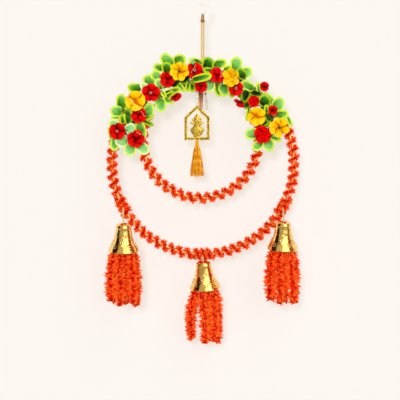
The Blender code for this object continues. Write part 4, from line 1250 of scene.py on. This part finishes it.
# The pendant
# A flat gilt casting: a house-shaped frame with a groove all round its face, and a water pot with
# leaves standing in it. A jump ring joins its top to the pearls.
PENDANT_LOW = -170.9
PENDANT_SHOULDER = -141.5
PENDANT_HALF = 16.2
RIM_STEPS = (
    (0.0, 0.7), (0.0, -0.9), (0.35, -1.6), (0.9, -1.7), (1.5, -1.3), (1.95, -0.45), (2.4, -1.3),
    (3.0, -1.7), (3.55, -1.6), (3.9, -0.9), (3.9, 0.7), (3.5, 1.5), (2.0, 1.7), (0.4, 1.5),
)
POT_OUTLINE = (
    (0.6, 34.3), (1.2, 33.0), (2.4, 31.0), (3.8, 28.6), (4.4, 26.7), (3.9, 24.2), (3.0, 21.6),
    (5.7, 20.9), (5.8, 20.2), (4.4, 18.8), (4.5, 17.9), (6.6, 16.2), (8.3, 14.2), (8.8, 12.9),
    (8.2, 11.2), (6.4, 7.8), (4.9, 6.2), (4.4, 5.2), (4.8, 3.6), (4.6, 2.6), (0.5, 2.6),
)
POT_LEAVES = ((9.4, 2.6), (6.6, 8.2))


def house(inset):
    """The corners of the frame's outline, moved inwards, in millimetres."""
    apex = PENDANT_APEX / MM
    slope = math.hypot(apex - PENDANT_SHOULDER, PENDANT_HALF)
    peak = apex - inset * slope / PENDANT_HALF
    half = PENDANT_HALF - inset
    shoulder = peak - (apex - PENDANT_SHOULDER) / PENDANT_HALF * half
    low = PENDANT_LOW + inset
    return np.array([(-half, low), (half, low), (half, shoulder), (0, peak), (-half, shoulder)])


def pot_relief(height, turn):
    """Small bosses on the pot's belly and ridges on its neck."""
    bosses = np.cos(9 * turn) * np.exp(-((height - 13.2) / 1.6) ** 2)
    return 0.55 * np.clip(bosses, 0, 1) + 0.3 * np.cos(2.6 * height) * (height > 21)


pendant_gilt = Finish("pendant_gilt", metallic=0.6)
tarnish = pendant_gilt.noise(2.2 * MM, 3.0)
pendant_raised = pendant_gilt.measure("raised")
worked = pendant_gilt.noise(1.9 * MM, 1.0)
bright = pendant_gilt.mix(tarnish.above(0.35, 0.7), paint(250, 214, 70), paint(255, 238, 110))
# The hollows of the fine relief are painted darker: painted shade.
cast = pendant_gilt.mix(worked.above(0.36, 0.52), paint(176, 134, 20), bright)
# The groove and the frame's edges are painted dark brown as painted shade; the pot is set a little darker
# too.
pendant_gilt.set("base_color", pendant_gilt.mix(pendant_raised.above(0.2, 1.0), paint(150, 106, 16), cast))
pendant_gilt.set("roughness", 0.2 + 0.2 * tarnish)
pendant_gilt.bump(worked, 0.7 * MM, 0.8)

pendant_skin = Skin()
corners = np.stack([house(inset) for inset, _ in RIM_STEPS])
depths = np.array([depth for _, depth in RIM_STEPS])
frame_rings = np.stack([corners[..., 0] + PENDANT_X / MM, np.broadcast_to(depths[:, None], corners.shape[:2]),
                        corners[..., 1]], -1)
groove = np.clip((np.abs(depths) - 0.4) / 0.6, 0, 1)[:, None]
pendant_skin.add(frame_rings * MM, grid_quads(len(RIM_STEPS), 5, wrap_rows=True),
                 raised=np.broadcast_to(groove, corners.shape[:2]))
pot_foot = Vector((PENDANT_X, 0, PENDANT_LOW * MM))
add_turned(pendant_skin, POT_OUTLINE, pot_foot, 54, flatten=0.3, relief=pot_relief, raised=0.7)
for side in (-1, 1):
    for reach, rise in POT_LEAVES:
        leaf_root = pot_foot + Vector((0, 0, 20 * MM))
        leaf_way = Vector((side * reach, 0, rise)) * MM
        leaf_line = smooth_route([leaf_root + leaf_way * share for share in (0.1, 0.4, 0.7, 1.0)], 0.5 * MM)
        swell = 1.7 * MM * np.sin(np.pi * np.linspace(0.15, 0.98, len(leaf_line))) ** 0.8
        flat_ring = round_rings(leaf_line, swell[:, None], 12)
        flat_ring[..., 1] *= 0.45
        pendant_skin.tube(flat_ring, raised=0.8)
link = circle(Vector((PENDANT_X, 0, PENDANT_APEX - 1.3 * MM)), 2.5 * MM, (1, 0, 0), 36)
pendant_skin.tube(round_rings(link, 0.5 * MM, 10, closed=True), closed=True, raised=0.9)
pendant_skin.piece("cast_pendant", pendant_gilt, "gilt_plastic", "pendant")

# The pendant's tassel
# Golden silk threads doubled over the frame's foot, bound below it with the same thread and cut
# to a ragged end.
SILK_THREADS = 260
SILK_LENGTH = 45.0 * MM
SILK_BINDING = 5.8 * MM
SILK_SPREAD = 7.4 * MM
SILK_STEPS = 14
SILK_HEAD = ((0.5, -0.1), (1.4, -0.3), (1.9, -1.2), (2.0, -3.0), (1.9, -6.6), (0.5, -7.0))

silk = Finish("gold_silk", specular_ior_level=0.4, emission_strength=0.11)
silk_tone = silk.measure("tone")
silk_along = silk.measure("along")
silk_dye = silk.ramp(silk_tone + 0.12 * (silk_along * 26.0).wave(), (0.1, paint(190, 104, 0)),
                     (0.5, paint(240, 168, 14)), (0.9, paint(255, 212, 84)))
silk.set("base_color", silk_dye)
# The threads give off a little of their own colour: a painted glow, not a lamp.
silk.set("emission_color", silk_dye)
silk.set("roughness", 0.32 + 0.25 * silk_tone)
silk_skin = Skin()
silk_top = Vector((PENDANT_X, 0, PENDANT_LOW * MM))
for index in range(6):
    binding = circle(silk_top - Vector((0, 0, (2.0 + 0.75 * index) * MM)), (2.05 - 0.05 * (index % 2)) * MM,
                     (0.05, 0, 1), 32)
    silk_skin.tube(round_rings(binding, 0.42 * MM, 8, closed=True), closed=True, along=index / 6, tone=0.5)
add_turned(silk_skin, SILK_HEAD, silk_top, 18, along=0.0, tone=0.4)
for number in range(SILK_THREADS):
    turn = dice.uniform(0, 2 * math.pi)
    out = math.sqrt(dice.random())
    side = np.array((math.cos(turn), math.sin(turn), 0.0))
    share = np.linspace(0, 1, SILK_STEPS)
    length = SILK_LENGTH - SILK_BINDING + dice.uniform(-3.4, 1.2) * MM
    spread = 1.6 * MM * out + (SILK_SPREAD + 0.9 * MM - 1.6 * MM) * out * share ** 0.55
    waver = dice.normal(0, 0.7 * MM, 3) * share[:, None] ** 2 * 1.5
    wave = np.sin(share * dice.uniform(8, 22) + dice.uniform(0, 6))
    curl = 0.5 * MM * wave[:, None] * np.cross(side, (0, 0, 1))
    line = (np.array(tuple(silk_top)) + side * spread[:, None] + waver + curl
            - np.array((0, 0, 1)) * (SILK_BINDING + length * share)[:, None])
    silk_skin.tube(round_rings(line, 0.26 * MM, 4), along=share[:, None], tone=dice.uniform(0, 1))
silk_skin.piece("silk_threads", silk, "gold_silk", "pendant_tassel")

# The room
# A pale wall that shows only from the front, a pale floor under the view, one large soft light from
# the upper left, and a studio all round whose bright and dark sides show in the gilt.
WALL_DEPTH = 38 * MM
WALL_HALF = 1.5
WALL_TOP = 1.2
FLOOR = -0.56
FLOOR_HALF = 3.0
SUN_SPREAD = 12.0
SUN_WAY = Vector((0.14, 1.0, -0.17))
wall_paint = Finish("wall_paint", base_color=paint(134, 138, 150), roughness=0.9, specular_ior_level=0.0,
                    emission_color=paint(253, 245, 231), emission_strength=0.73)
behind = wall_paint.make("NewGeometry", {}, {}, "Backfacing")
shading = wall_paint.make("LightPath", {}, {}, "Is Shadow Ray")
gone = wall_paint.make("BsdfTransparent", {}, {})
shown = wall_paint.make("MixShader", {}, {0: behind.maths("MAXIMUM", behind, shading), 2: gone})
wall_paint.tree.links.new(wall_paint.shader.outputs[0], shown.socket.node.inputs[1])
wall_paint.tree.links.new(shown.socket, wall_paint.tree.nodes["Material Output"].inputs["Surface"])
floor_paint = Finish("floor_paint", base_color=paint(210, 205, 201), roughness=0.9, specular_ior_level=0.0)


def add_plane(name, corners, finish):
    """A flat sheet of the room."""
    mesh = bpy.data.meshes.new(name)
    mesh.from_pydata(corners, [], [(0, 1, 2, 3)])
    mesh.materials.append(finish.look)
    made = bpy.data.objects.new(name, mesh)
    bpy.context.scene.collection.objects.link(made)


square = ((-1, -1), (1, -1), (1, 1), (-1, 1))
wall_corners = [(side * WALL_HALF, WALL_DEPTH, WALL_TOP if up > 0 else FLOOR) for side, up in square]
floor_corners = [(side * FLOOR_HALF, deep * FLOOR_HALF, FLOOR) for side, deep in square]
add_plane("studio_wall", wall_corners, wall_paint)
add_plane("studio_floor", floor_corners, floor_paint)

sun = bpy.data.lights.new("soft_key", "SUN")
sun.energy = 1.7
sun.angle = math.radians(SUN_SPREAD)
key = bpy.data.objects.new("soft_key", sun)
key.rotation_euler = SUN_WAY.to_track_quat("-Z", "Y").to_euler()
key.visible_glossy = False
bpy.context.scene.collection.objects.link(key)

world = bpy.data.worlds.new("studio")
bpy.context.scene.world = world
room = Nodes(world)
way = room.make("TexCoord", {}, {}, "Generated")
parts = [room.make("SeparateXYZ", {}, {"Vector": way}, name) for name in ("X", "Y", "Z")]
azimuth = parts[0].maths("ARCTAN2", parts[0], 0 - parts[1]) / (2 * math.pi) + 0.5
daylight = (1.3, 1.25, 1.2, 1)
shade = (0.03, 0.012, 0.004, 1)
window = (2.7, 2.6, 2.4, 1)
amber = (0.35, 0.12, 0.04, 1)
bands = room.ramp(azimuth, (0.0, daylight), (0.19, (1.2, 1.1, 1.0, 1)), (0.22, shade), (0.355, shade),
                  (0.37, (0.65, 0.55, 0.45, 1)), (0.5, (0.7, 0.62, 0.52, 1)), (0.52, window), (0.64, window),
                  (0.67, amber), (0.79, amber), (0.84, daylight))
mirrored = room.make("LightPath", {}, {}, "Is Glossy Ray")
lit = room.make("Background", {}, {"Color": bands, "Strength": 0.5 + 0.4 * mirrored})
seen = room.make("Background", {}, {"Color": paint(253, 247, 242), "Strength": 1.0})
is_camera = room.make("LightPath", {}, {}, "Is Camera Ray")
mixed = room.make("MixShader", {}, {0: is_camera, 1: lit, 2: seen})
room.tree.links.new(mixed.socket, room.tree.nodes["World Output"].inputs["Surface"])
bpy.context.scene.view_settings.view_transform = "Standard"
